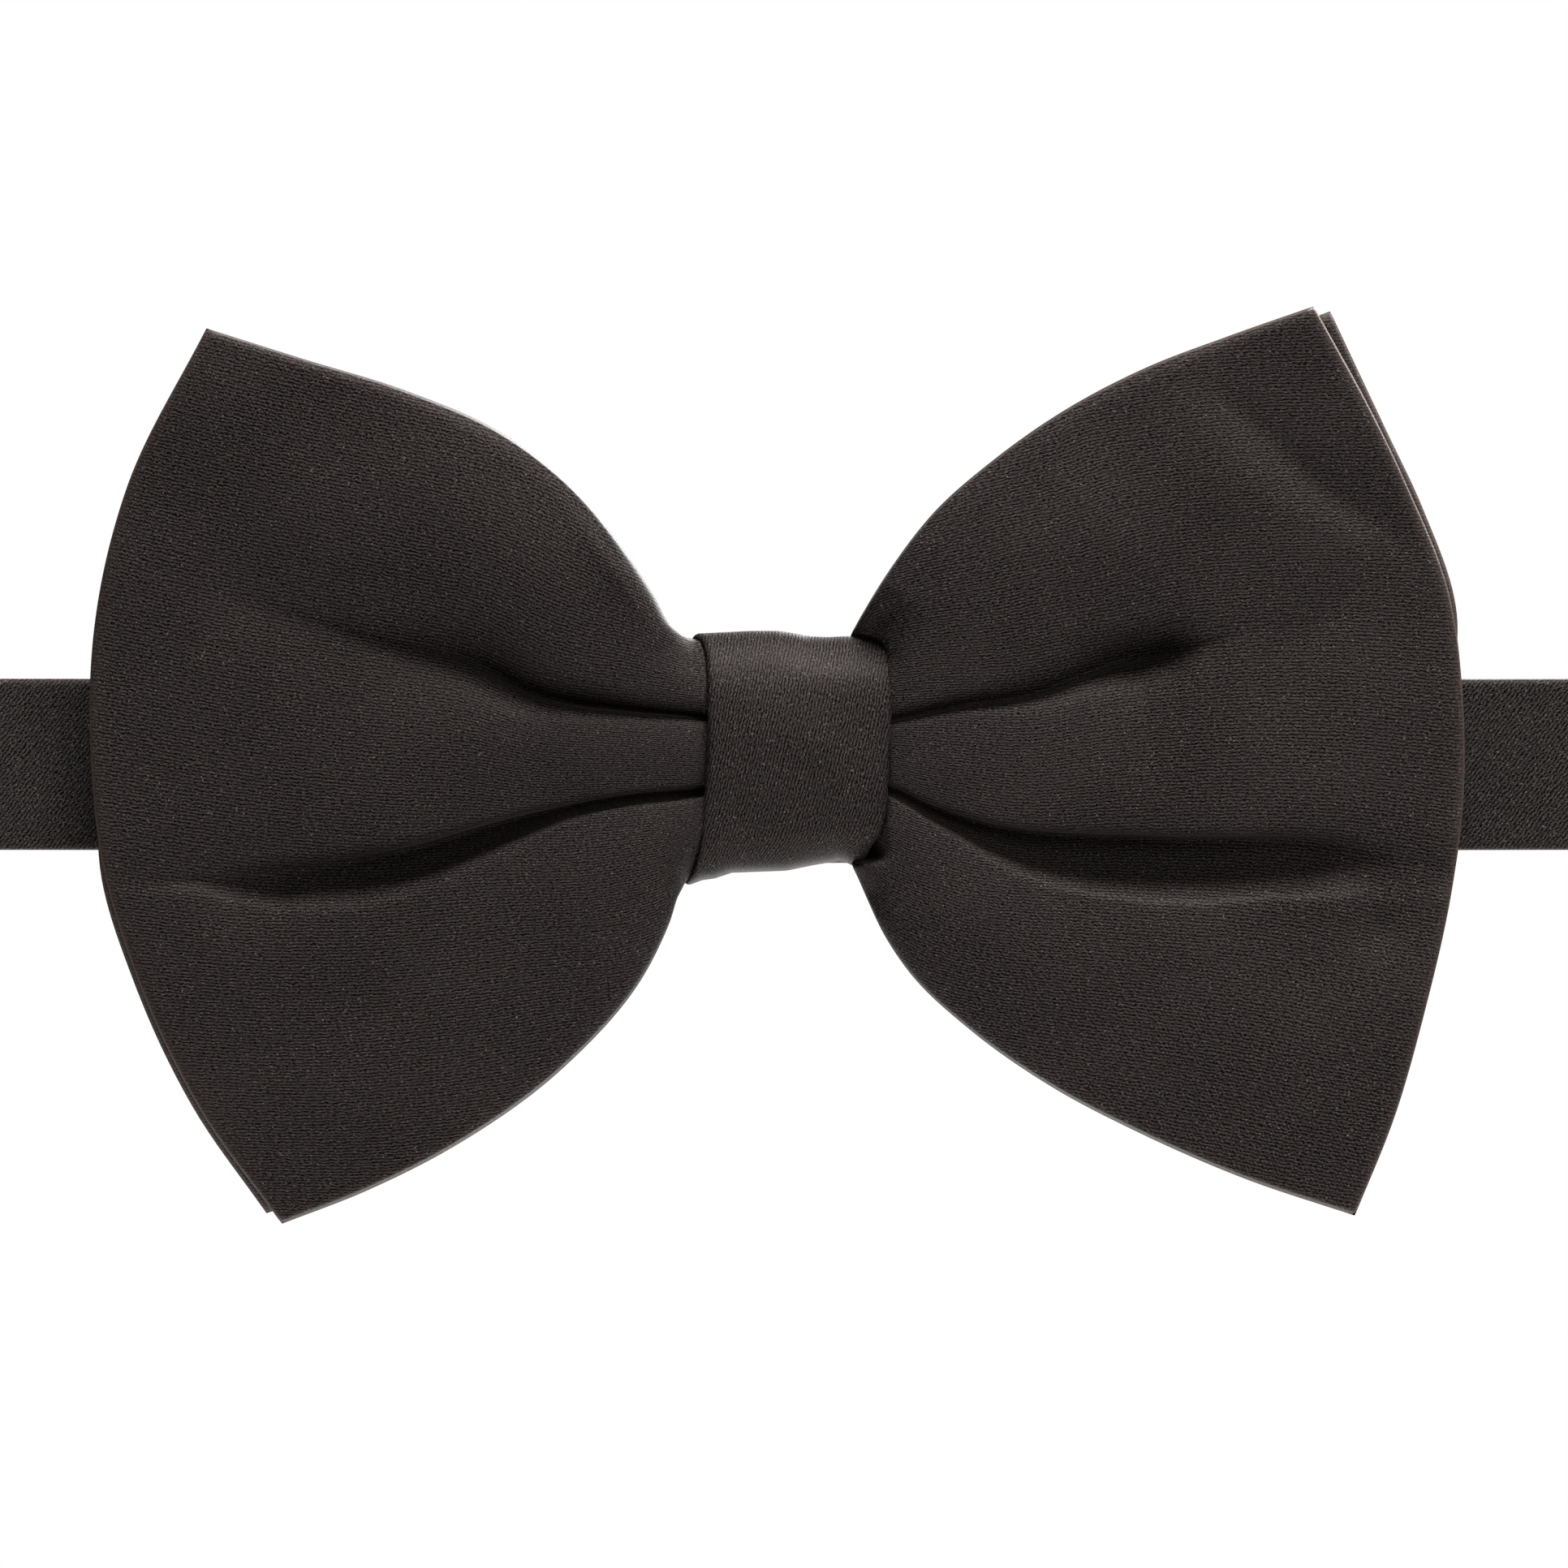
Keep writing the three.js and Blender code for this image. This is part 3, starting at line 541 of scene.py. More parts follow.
def wing_layout(lines, columns, lobe_rows):
    """Flat (x, z) of each column and row, each row's lobe and its share of the way across it, and
    how tall each lobe is at each column.
    """
    u = 1 - eased(columns, 0.5)[::-1]
    u = u ** 1.15
    outer_line = through(lines["outer"], np.linspace(0, 1, OUTER_STEPS + 1))
    edges = [through(lines[k], u) for k in ("bottom", "lower", "upper", "top")]
    ends = [np.argmin(np.linalg.norm(outer_line - edge[-1], axis=1)) for edge in edges]
    rim_share = [end / OUTER_STEPS for end in ends]
    flat, lobe, share = [], [], []
    for k, rows in enumerate(lobe_rows):
        t = eased(rows)
        t = t if k == len(lobe_rows) - 1 else t[:-1]
        for value in t:
            line = (1 - value) * edges[k] + value * edges[k + 1]
            place = np.array((1 - value) * rim_share[k] + value * rim_share[k + 1])
            rim = through(lines["outer"], place)
            line = line + (u ** 3)[:, None] * (rim - line[-1])
            flat.append(line)
            lobe.append(k)
            share.append(value)
    heights = [np.linalg.norm(edges[k + 1] - edges[k], axis=1) for k in range(len(lobe_rows))]
    return np.stack(flat, axis=1), np.array(lobe), np.array(share), np.stack(heights, axis=1)


sample = wing_layout(RIGHT_FRONT, 20, (5, 5, 5))[0].reshape(-1, 2)
print("right wing spans, mm:", sample.min(0).round(1), sample.max(0).round(1))

# %% [markdown]
# Depth comes next. Near the knot each pleat is a sharp step under the middle lobe and a soft slope
# on the lobe beyond it; the numbers are how far it goes back, at distances from the knot. The top
# and bottom edges roll back like a cushion close to the knot and lie flat further out. The right
# wing also has a dimple above its upper pleat and a soft forked hollow towards its corner.

# %% How deep the cloth lies
AWAY = [-3, 0, 2, 6, 12, 18, 24, 27, 30, 37, 44, 52]
DEPTH = {
    "base": [7.6, 10.9, 11.1, 11.1, 10.8, 10.3, 9.7, 9.4, 9.1, 8.4, 7.7, 7.0],
    "roll": [0.9, 1.3, 1.7, 1.9, 1.7, 1.4, 1.2, 1.1, 1.0, 0.8, 0.6, 0.5],
    "puff": [0.0, 0.5, 0.8, 1.1, 1.3, 1.3, 1.2, 1.1, 1.0, 0.6, 0.2, 0.0],
}
PLEATS = {
    "left": {
        "lower": {
            "depth": [0.3, 2.0, 2.4, 2.8, 3.4, 4.6, 5.2, 5.2, 5.0, 3.6, 1.0, 0],
            "step": [0.3, 0.25, 0.25, 0.25, 0.3, 0.35, 0.5, 0.6, 0.8, 1.2, 2.0, 3.0],
            "width": [0.8, 0.8, 0.9, 1.0, 1.2, 2.6, 3.6, 3.9, 4.0, 3.2, 1.2, 1.0],
            "power": 0.7,
        },
        "upper": {
            "depth": [0.3, 2.0, 2.6, 3.4, 4.6, 5.0, 4.0, 3.2, 2.4, 1.0, 0, 0],
            "step": [0.3, 0.25, 0.25, 0.3, 0.5, 1.3, 2.4, 3.0, 3.4, 4.0, 5.0, 6.0],
            "width": [1.0, 1.4, 1.8, 2.6, 4.2, 5.6, 6.2, 6.2, 6.0, 5.0, 4.0, 3.0],
            "power": 1.6,
        },
    },
    "right": {
        "lower": {
            "depth": [0.3, 2.0, 2.6, 3.8, 5.2, 5.8, 5.8, 5.6, 5.4, 4.2, 1.0, 0],
            "step": [0.3, 0.25, 0.25, 0.25, 0.3, 0.35, 0.4, 0.45, 0.5, 0.8, 1.2, 1.6],
            "width": [0.8, 0.8, 1.0, 1.8, 4.0, 5.2, 5.6, 5.6, 5.4, 4.8, 3.6, 1.5],
            "power": 0.6,
        },
        "upper": {
            "depth": [0.3, 2.0, 2.3, 2.8, 3.4, 4.4, 4.4, 1.2, 0, 0, 0, 0],
            "step": [0.3, 0.25, 0.25, 0.3, 0.45, 0.8, 1.4, 1.8, 2.0, 3.0, 4.0, 5.0],
            "width": [1.0, 1.2, 1.5, 2.2, 3.6, 4.4, 4.2, 2.6, 1.0, 1.0, 1.0, 1.0],
            "power": 1.5,
        },
    },
}
# Each dent: the line it follows, its depth along that line, and how wide it is to either side.
# A negative depth is a ridge.
DENTS = {
    "left": [
        ([(-36, 12), (-44, 14.2), (-52, 15.4)], [0.3, 0.4, 0], 3.0, 3.0),
        ([(-45, -11), (-49, -11.2), (-53.5, -10)], [0.7, 0.6, 0], 1.6, 1.6),
        ([(-20, 22), (-16.2, 17.4), (-13.4, 13.4), (-11.5, 10.2)], [0, -0.5, -1.0, -0.6, 0], 1.6, 1.3),
        ([(-10.6, 12.4), (-9, 11), (-7, 9.6)], [0, 2.6, 3.4], 1.5, 1.3),
        ([(-10.6, -12.5), (-9.6, -10.6), (-7.5, -8.5)], [0, 1.6, 2.4], 1.3, 1.5),
    ],
    "right": [
        ([(24, 8.4), (29.6, 10.2), (34, 10.4)], [0, 1.2, 2.4, 1.2, 0], 2.8, 2.8),
        ([(33, 34.2), (36, 32.4), (39.1, 30), (43.9, 25.5), (48.5, 22.1), (52.2, 19.5), (55, 16.8)],
         [0, 0.6, 1.2, 1.5, 1.4, 0.6, 0], 1.4, 3.0),
        ([(51, 20), (50.2, 17.5), (47.7, 14.6), (44.7, 12), (41.7, 9.8), (38, 8.8)],
         [0, 0.5, 0.8, 0.8, 0.4, 0], 3.0, 2.4),
        ([(48.4, -17.5), (51.3, -13.8), (54.4, -10.6)], [0, 0.9, 0], 2.2, 2.2),
        ([(4.4, 11.2), (6.8, 12.2), (8.8, 14.8)], [3.0, 2.6, 0], 1.8, 1.5),
        ([(2, 9.8), (6.5, 9.9), (9.4, 8.8)], [1.6, 2.6, 0], 1.8, 0.8),
        ([(5, -9), (6.2, -10.8), (7.4, -13.5)], [0.8, 1.4, 0], 1.5, 1.2),
    ],
}
DENT_ROUND = 0.3
KNOT_HALF_WIDE, KNOT_HALF_TALL = 8, 9
RIPPLE_DEPTH = 0.12


def dent(x, z, line, depths, before, after):
    """A crease-like dent along a line. Before and after are its widths on the line's two sides."""
    t = np.linspace(0, 1, 60)
    path = through(line, t)
    heading = np.gradient(path, axis=0)
    deep = np.interp(t, np.linspace(0, 1, len(depths)), depths)
    dx, dz = x[..., None] - path[:, 0], z[..., None] - path[:, 1]
    apart = np.hypot(dx, dz)
    nearest = apart.argmin(axis=-1)
    side = np.take_along_axis(heading[:, 0] * dz - heading[:, 1] * dx, nearest[..., None], axis=-1)[..., 0]
    scaled = apart.min(axis=-1) / np.where(side < 0, before, after)
    return -deep[nearest] * np.exp(DENT_ROUND - np.hypot(scaled, DENT_ROUND))


def wing_depth(side, flat, lobe, share, heights):
    """How far forward of the neck plane the cloth's middle lies, in mm, per column and row.

    The depths hang on the distance from the knot. Under the knot that distance is negative, which
    tucks the cloth in.
    """
    x, z = flat[..., 0], flat[..., 1]
    above = np.where(z > 1, z - 1, 1.7 - z) - KNOT_HALF_TALL
    away = np.hypot(np.clip(np.abs(x) - KNOT_HALF_WIDE, 0, None), 0.6 * np.clip(above, 0, None))
    tuck = np.clip(KNOT_HALF_WIDE - np.abs(x), 0, None) * (1 + smoothstep(above, -1.5, 0.5))
    away = away - tuck * smoothstep(1.6 - above, 0, 1.0)

    def along(table):
        return np.interp(away, AWAY, table)

    tall = heights[:, lobe]
    from_low = share[None, :] * tall
    from_high = (1 - share[None, :]) * tall
    lower, upper = PLEATS[side]["lower"], PLEATS[side]["upper"]

    def step(pleat, distance):
        return along(pleat["depth"]) * np.exp(-distance / along(pleat["step"]))

    def wedge(pleat, distance):
        reach = np.clip(1 - distance / along(pleat["width"]), 0, 1)
        return along(pleat["depth"]) * reach ** pleat["power"]

    base, crown = along(DEPTH["base"]), along(DEPTH["puff"]) * np.sin(np.pi * share[None, :])
    lobes = [base + crown - wedge(lower, from_high),
             base + 0.5 * crown - step(lower, from_low) - step(upper, from_high),
             base + crown - wedge(upper, from_low)]
    result = np.choose(np.broadcast_to(lobe[None, :], x.shape), lobes)
    roll = along(DEPTH["roll"])
    rim = np.where(lobe[None, :] == 0, from_low, np.where(lobe[None, :] == 2, from_high, 99.0))
    q = np.clip(1 - rim / (roll * 1.3), 0, 1)
    result = result - roll * (1 - np.sqrt(1 - q * q * 0.999))
    for shape in DENTS[side]:
        result = result + dent(x, z, *shape)
    ripple = np.sin(x * 0.31 + 0.8) * np.sin(z * 0.27 + x * 0.06) + 0.6 * np.sin(z * 0.5 - x * 0.17 + 2)
    return result + RIPPLE_DEPTH * ripple * smoothstep(away, 4, 20)


print("depth at the knot's edge, mm:", DEPTH["base"][1])

# %% [markdown]
# The pocket is closed by giving the middle surface a thickness that rounds off to nothing at the
# rim. The front and back of the pocket are two grids welded along that rim, and the left wing, the
# pinched waist and the right wing are one cloth. The back layer lies behind the front one in the
# same pleats, only shallower.

# %% Build the bow layers
POCKET = {"front": 1.5 * MM, "back": 1.3 * MM}
BACK_NEAR, BACK_SHARE, FRONT_NEAR = 2.6, 0.4, 4.7


def layer_points(which, left, right):
    """Middle surface of both wings and the waist between them as one table of points, in metres."""
    parts = []
    for side, lines in (("left", left), ("right", right)):
        flat, lobe, share, heights = wing_layout(lines, WING_COLUMNS[which], LOBE_ROWS[which])
        depth = wing_depth(side, flat, lobe, share, heights)
        if which == "back":
            depth = BACK_NEAR + BACK_SHARE * np.clip(depth - FRONT_NEAR, 0, None)
        parts.append(np.stack([flat[..., 0], -depth, flat[..., 1]], axis=-1) * MM)
    t = np.linspace(0, 1, WAIST_COLUMNS + 2)[1:-1, None, None]
    waist = (1 - t) * parts[0][0][None] + t * parts[1][0][None]
    return np.concatenate([parts[0][::-1], waist, parts[1]], axis=0)


def run_lengths(points, axis):
    """Length of cloth from the first point to each point, along one direction of the table."""
    step = np.linalg.norm(np.diff(points, axis=axis), axis=-1)
    pad = [(0, 0), (0, 0)]
    pad[axis] = (1, 0)
    return np.cumsum(np.pad(step, pad), axis=axis)


def rim_distance(points, square=(False, False)):
    """Length of cloth from each point to the nearest border; a square end doesn't count as one."""
    across = run_lengths(points, 1)
    near = np.minimum(across, across[:, -1:] - across)
    along = run_lengths(points, 0)
    if not square[0]:
        near = np.minimum(near, along)
    if not square[1]:
        near = np.minimum(near, along[-1:] - along)
    return near


def surface_normals(points):
    """The direction square to the table of points at each of them."""
    normal = np.cross(np.gradient(points, axis=0), np.gradient(points, axis=1))
    return normal / np.linalg.norm(normal, axis=-1, keepdims=True)


DEPTH_CALM, LEVEL_KEPT = 0.3, 0.25


def fan_uv(points):
    """Threads run along the rows, which fan out from the waist.

    The depth counts for less in the lengths, so that a fold doesn't bend the ribs, and part of a
    row's level is the level that it has at the outer edge.
    """
    calmed = points * (1, DEPTH_CALM, 1)
    along = run_lengths(calmed, 0)
    waist = points.shape[0] // 2
    along = along - along[waist][None, :]
    across = run_lengths(calmed, 1)
    across = across - across[:, [points.shape[1] // 2]]
    wide = np.where(np.arange(points.shape[0])[:, None] < waist, across[:1], across[-1:])
    return np.stack([along, LEVEL_KEPT * wide + (1 - LEVEL_KEPT) * across], axis=-1)


def pocket(name, points, thick, uv, material, normals=(0, 1, 0), rim_round=0.9 * MM,
           square=(False, False), relief=(0, 0)):
    """A closed, turned pocket of cloth round a middle surface.

    `thick` may differ from point to point, `square` keeps an end at full thickness and closes it
    flat, and `relief` moves each skin in or out.
    """
    near = rim_distance(points, square)
    q = np.clip(1 - near / rim_round, 0, 1)
    half = thick / 2 * np.sqrt(1 - q * q)
    rim = near <= 1e-9
    fold = np.exp(-near / (0.3 * MM))
    bm = new_cloth()
    for sign, lift in zip((-1, 1), relief):
        out = np.where(rim, 0, half + lift * np.sqrt(1 - q * q))
        lay_grid(bm, points + sign * out[..., None] * np.array(normals), uv, fold)
    bmesh.ops.remove_doubles(bm, verts=bm.verts, dist=1e-7)
    bmesh.ops.holes_fill(bm, edges=[e for e in bm.edges if e.is_boundary], sides=0)
    return finish_cloth(bm, name, material)


def declare(piece, body, slot, *nodes):
    """Say what the piece rides on and which CAD nodes it stands for. `slot`, its finish, is not used."""
    if isinstance(body, str):
        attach(piece, body)
    else:
        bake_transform(piece, body[0], body[1], start=body[2], end=body[3])
    if nodes:
        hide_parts(*nodes)
    one_side = sum(p.area for p in piece.data.polygons) / 2
    print(piece.name, "-", len(piece.data.polygons), "faces, one side", round(one_side * 1e4, 1), "cm2")
    return piece


front_middle = layer_points("front", LEFT_FRONT, RIGHT_FRONT)
back_middle = layer_points("back", LEFT_BACK, RIGHT_BACK)
front_bow = pocket("front_bow", front_middle, POCKET["front"], fan_uv(front_middle), bow_satin)
declare(front_bow, "bow", "bow_satin", "front_bow_cloth")
back_bow = pocket("back_bow", back_middle, POCKET["back"], fan_uv(back_middle), bow_satin)
declare(back_bow, "bow", "bow_satin", "back_bow_cloth")

# %% [markdown]
# A layer of woven canvas inside each pocket keeps its pleats stiff. It is the middle surface again,
# cut smaller all round, so it lies in exactly the same folds and never meets the satin.

# %% Interlinings inside the pockets


def bow_canvas(name, points, columns, rows, node):
    """Canvas cut smaller than the pocket by a few columns and rows, lying in the same folds."""
    keep = points[columns:-columns, rows:-rows]
    piece = pocket(name, keep, 0.25 * MM, fan_uv(keep), canvas, rim_round=0.2 * MM)
    return declare(piece, "bow", "interlining", node)


front_canvas = bow_canvas("front_bow_canvas", front_middle, columns=10, rows=8,
                          node="front_bow_interlining")
back_canvas = bow_canvas("back_bow_canvas", back_middle, columns=6, rows=5,
                         node="back_bow_interlining")

# %% [markdown]
# The knot is a strip of satin, folded double, wrapped once round both waists and the band, with its
# ends lapped and sewn behind. Its side edges aren't parallel: the left one flares out where it
# turns under and over, and the right one draws in at the bottom corner. So the loop is one profile
# seen from the side, and its two edges and its top and bottom are drawn in with small offsets.

# %% Build the knot
KNOT_CLOTH = 0.7 * MM
KNOT_COLUMNS, KNOT_ROWS = 56, 230
KNOT_LOOP = [(0.55, -2), (0.6, 2), (0.5, 6.3), (0.0, 8.3), (-1.8, 9.6), (-4.4, 10.6), (-7.0, 11.05),
             (-8.7, 10.4), (-10.2, 9.0), (-11.5, 6.7), (-12.15, 3.6), (-12.35, 0), (-12.1, -3.4),
             (-11.4, -6.4), (-9.8, -8.3), (-7.4, -8.95), (-4.2, -8.75), (-1.6, -8.35), (0.2, -7.9),
             (1.1, -6.4), (1.35, -3), (1.35, 0.4), (1.35, 3.2)]
KNOT_LEFT = [-9.3, -9.3, -9.3, -9.5, -9.6, -9.5, -9.0, -8.25, -7.95, -7.85, -7.8, -7.85, -8.15,
             -8.45, -9.2, -9.8, -10.0, -9.9, -9.6, -9.4, -9.2, -9.2, -9.2]
KNOT_RIGHT = [8, 8, 8, 8, 8, 8, 8, 8, 8.05, 8.2, 8.1, 7.9, 7.75, 7.2, 6.0, 5.3, 5.2, 5.6, 6.6, 7.2,
              7.6, 7.8, 7.9]
KNOT_TOP_SHIFT = [(-9.6, -0.3), (-8.6, 0), (-4, 0.22), (-1.8, 0.22), (-0.3, 0.02), (0.9, -0.24),
                  (2.6, -0.32), (4.2, -0.25), (8.2, -0.35)]
KNOT_BOTTOM_SHIFT = [(-10, -1.35), (-8.4, -0.75), (-7.3, -0.6), (-5.8, -0.1), (-1, 0.08), (1, 0.5),
                     (3.6, 0.95), (4.3, 0.8), (5.2, 0.35), (6.2, 0.8), (8, 1.2)]
EDGE_SMOOTHING = 9


def evened(values):
    """A knot edge with the corners between its measured points taken off."""
    window = np.hanning(EDGE_SMOOTHING) / np.hanning(EDGE_SMOOTHING).sum()
    return np.convolve(np.pad(values, EDGE_SMOOTHING // 2, "edge"), window, "valid")


def knot_points():
    along = np.linspace(0, 1, KNOT_ROWS + 1)
    loop = through(KNOT_LOOP, along)
    steps = np.linalg.norm(np.diff(np.array(KNOT_LOOP, float), axis=0), axis=1)
    marks = np.concatenate([[0], np.cumsum(steps)]) / steps.sum()
    left = evened(np.interp(along, marks, KNOT_LEFT))
    right = evened(np.interp(along, marks, KNOT_RIGHT))
    share = eased(KNOT_COLUMNS, 0.6)[:, None]
    x = (1 - share) * left[None, :] + share * right[None, :]
    y = np.broadcast_to(loop[:, 0][None, :], x.shape).copy()
    z = np.broadcast_to(loop[:, 1][None, :], x.shape).copy()
    front = smoothstep(-y, 1.0, 3.5)
    top = front * smoothstep(z, 6.5, 10.8)
    bottom = front * smoothstep(-z, 4.5, 8.6)
    z += top * np.interp(x, *np.array(KNOT_TOP_SHIFT).T)
    z += bottom * np.interp(x, *np.array(KNOT_BOTTOM_SHIFT).T)
    crown = 0.35 * np.cos(np.clip(x / 9, -1, 1) * math.pi / 2) * smoothstep(-y, 9, 12)
    drag = 0.05 * np.sin(x * 0.5 + z * 0.75) * smoothstep(-y, 9, 12)
    y -= crown + drag
    return np.stack([x, y, z], axis=-1) * MM


def strip_uv(points):
    """Cloth lengths along and across a strip, measured from its middle."""
    along, across = run_lengths(points, 1), run_lengths(points, 0)
    return np.stack([across - across[-1:] / 2, along], axis=-1)


knot_middle = knot_points()
knot = pocket("knot", knot_middle, KNOT_CLOTH, strip_uv(knot_middle), knot_satin,
              surface_normals(knot_middle), rim_round=0.5 * MM)
declare(knot, "bow", "bow_satin", "knot_cloth")

# %% [markdown]
# Under the knot's front lies a little pad of folded wadding, which keeps the front full. It is
# the knot's own front surface again, drawn in from the edges and closed to a soft lens. The threads
# are curves with a round section, made into meshes before they get their place.

# %% Knot padding, waist thread and hand stitches
PADDING_ROWS = (62, 134)
PADDING_DEPTH = 1.7 * MM
WINDING_RADIUS, STITCH_RADIUS, TACK_RADIUS = 0.2, 0.14, 0.13
STITCHES_FROM, STITCHES_SPAN, LAP_LEVEL = -7.6, 14.4, 3.2


def knot_padding():
    first, last = PADDING_ROWS
    sheet = knot_middle[4:-4:2, first:last:2].copy()
    inward = surface_normals(sheet)
    inward *= np.sign(inward[inward.shape[0] // 2, inward.shape[1] // 2, 1])
    near = rim_distance(sheet)
    depth = PADDING_DEPTH * smoothstep(near, 0, 3 * MM)
    middle = sheet + inward * (KNOT_CLOTH / 2 + 0.35 * MM + depth / 2)[..., None]
    return pocket("knot_wadding", middle, depth + 0.15 * MM, strip_uv(sheet), canvas, inward, 0.4 * MM)


def thread_piece(name, points, radius, cyclic=False):
    """A round sewing thread through the points (in mm), as a closed mesh."""
    data = bpy.data.curves.new(name, "CURVE")
    data.dimensions = "3D"
    data.bevel_depth = radius * MM
    data.bevel_resolution = 2
    data.use_fill_caps = not cyclic
    spline = data.splines.new("POLY")
    spline.points.add(len(points) - 1)
    for point, spot in zip(spline.points, points):
        point.co = (*(Vector(spot) * MM), 1)
    spline.use_cyclic_u = cyclic
    drawn = bpy.data.objects.new(name + "_path", data)
    mesh = bpy.data.meshes.new_from_object(drawn)
    bpy.data.objects.remove(drawn)
    mesh.name = name
    mesh.materials.clear()
    mesh.materials.append(thread)
    return placed(name, mesh)


def wound_thread(turns=7, pitch=0.42, steps=28):
    """Thread wound round both pinched waists: a helix on a rounded box."""
    low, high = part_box("waist_thread")
    half_y, half_z = (high[1] - low[1]) / 2 / MM - 0.25, (high[2] - low[2]) / 2 / MM - 0.25
    mid_y, mid_z = (high[1] + low[1]) / 2 / MM, (high[2] + low[2]) / 2 / MM
    points = []
    for k in range(turns * steps + 1):
        angle = math.tau * k / steps
        c, d = math.cos(angle), math.sin(angle)
        squarer = (abs(c) ** 6 + abs(d) ** 6) ** (-1 / 6)
        points.append(((k / steps - turns / 2) * pitch, mid_y + half_y * c * squarer,
                       mid_z + half_z * d * squarer))
    return thread_piece("waist_winding", points, WINDING_RADIUS)


def whip_stitches(count=11):
    """Slanted stitches over the lapped end of the knot, sewn by hand, so not quite even."""
    points = []
    for k in range(count + 1):
        x = STITCHES_FROM + STITCHES_SPAN * k / count + 0.12 * math.sin(k * 2.3)
        lap = LAP_LEVEL + 0.1 * math.sin(k * 1.7)
        points += [(x, 1.0, lap + 0.75), (x + 0.15, 1.72, lap + 0.35), (x + 0.35, 1.9, lap - 0.2),
                   (x + 0.5, 1.78, lap - 0.8), (x + 0.62, 1.3, lap - 1.05)]
    return thread_piece("knot_hand_stitches", points, STITCH_RADIUS)


wadding = declare(knot_padding(), "bow", "interlining", "knot_padding")
declare(wound_thread(), "bow", "sewing_thread", "waist_thread")
declare(whip_stitches(), "bow", "sewing_thread", "knot_stitches")

# %% [markdown]
# The neck band is a satin tube, sewn along its middle on the neck side, turned and pressed flat
# round a strip of canvas. Its route is seen in plan. It is made as two lengths that meet under the
# knot, so that the left one can bend where the arm opens.

# %% Routes of the band in plan
BAND_WIDTH = 15.0
BAND_THICK = 1.4
FRONT_Y, BACK_Y = -BAND_THICK / 2, 75.0
SIDE_X, FRONT_CORNER, BACK_CORNER = 93.0, 18.0, 43.0
FOLD_R = 1.9
EYE_BAR_X, HOOK_BAR_X, SLIDER_X = 37.0, 8.0, -18.0
INNER_PLY_Y = BACK_Y - 2 * FOLD_R
TAB_THICK = 0.8
STEP = 0.9


def line(a, b):
    count = max(2, round(math.dist(a, b) / STEP))
    return [tuple(np.array(a) + (np.array(b) - np.array(a)) * k / count) for k in range(count)]


def arc(cx, cy, r, start, end):
    count = max(round(abs(end - start) * math.pi * r / 180 / STEP), round(abs(end - start) / 9))
    angles = [math.radians(start + (end - start) * k / count) for k in range(count)]
    return [(cx + r * math.cos(a), cy + r * math.sin(a)) for a in angles]


def right_route():
    corner_x, back_x = SIDE_X - FRONT_CORNER, SIDE_X - BACK_CORNER
    settle = [(EYE_BAR_X, INNER_PLY_Y), (EYE_BAR_X + 2.5, 71.5), (EYE_BAR_X + 6.5, 73.0),
              (EYE_BAR_X + 10, 73.3), (EYE_BAR_X + 15, 73.3)]
    return (line((0.01, FRONT_Y), (corner_x, FRONT_Y))
            + arc(corner_x, FRONT_Y + FRONT_CORNER, FRONT_CORNER, -90, 0)
            + line((SIDE_X, FRONT_Y + FRONT_CORNER), (SIDE_X, BACK_Y - BACK_CORNER))
            + arc(back_x, BACK_Y - BACK_CORNER, BACK_CORNER, 0, 90)
            + line((back_x, BACK_Y), (EYE_BAR_X, BACK_Y))
            + arc(EYE_BAR_X, BACK_Y - FOLD_R, FOLD_R, 90, 270)
            + [tuple(p) for p in through(settle, np.linspace(0, 1, 22))])


def left_route():
    corner_x, back_x = -SIDE_X + FRONT_CORNER, -SIDE_X + BACK_CORNER
    return (line((-0.01, FRONT_Y), (corner_x, FRONT_Y))
            + arc(corner_x, FRONT_Y + FRONT_CORNER, FRONT_CORNER, 270, 180)
            + line((-SIDE_X, FRONT_Y + FRONT_CORNER), (-SIDE_X, BACK_Y - BACK_CORNER))
            + arc(back_x, BACK_Y - BACK_CORNER, BACK_CORNER, 180, 90)
            + line((back_x, BACK_Y), (HOOK_BAR_X, BACK_Y))
            + arc(HOOK_BAR_X, BACK_Y - FOLD_R, FOLD_R, 90, -90)
            + [(HOOK_BAR_X, INNER_PLY_Y)])


def adjuster_route():
    tab_r, bar_y = 1.4, 72.2
    sewn = [(SLIDER_X, bar_y + tab_r), (SLIDER_X + 1.8, 73.3), (SLIDER_X + 4.5, 72.4),
            (SLIDER_X + 6.5, 72.2), (SLIDER_X + 9, 72.2)]
    entry = [(SLIDER_X + 9, INNER_PLY_Y), (SLIDER_X + 5, 71.1), (SLIDER_X, bar_y - tab_r)]
    return (line((HOOK_BAR_X, INNER_PLY_Y), (SLIDER_X + 9, INNER_PLY_Y))
            + [tuple(p) for p in through(entry, np.linspace(0, 1, 12))[:-1]]
            + arc(SLIDER_X, bar_y, tab_r, -90, -270)
            + [tuple(p) for p in through(sewn, np.linspace(0, 1, 14))])


def route_length(route):
    return sum(math.dist(a, b) for a, b in zip(route, route[1:]))


RIGHT_ROUTE, LEFT_ROUTE, LOOP_ROUTE = right_route(), left_route(), adjuster_route()
print("band lengths, mm:", round(route_length(RIGHT_ROUTE)), round(route_length(LEFT_ROUTE)))

# %% [markdown]
# Every length of band is the same recipe: the route gives the columns, the width gives the rows,
# and a pocket closes it. The seam is a shallow groove with a slight step on the neck side, and the
# cloth waves a little, because pressed satin never lies dead flat.

# %% Sweep a length of band
BAND_ROWS = 30


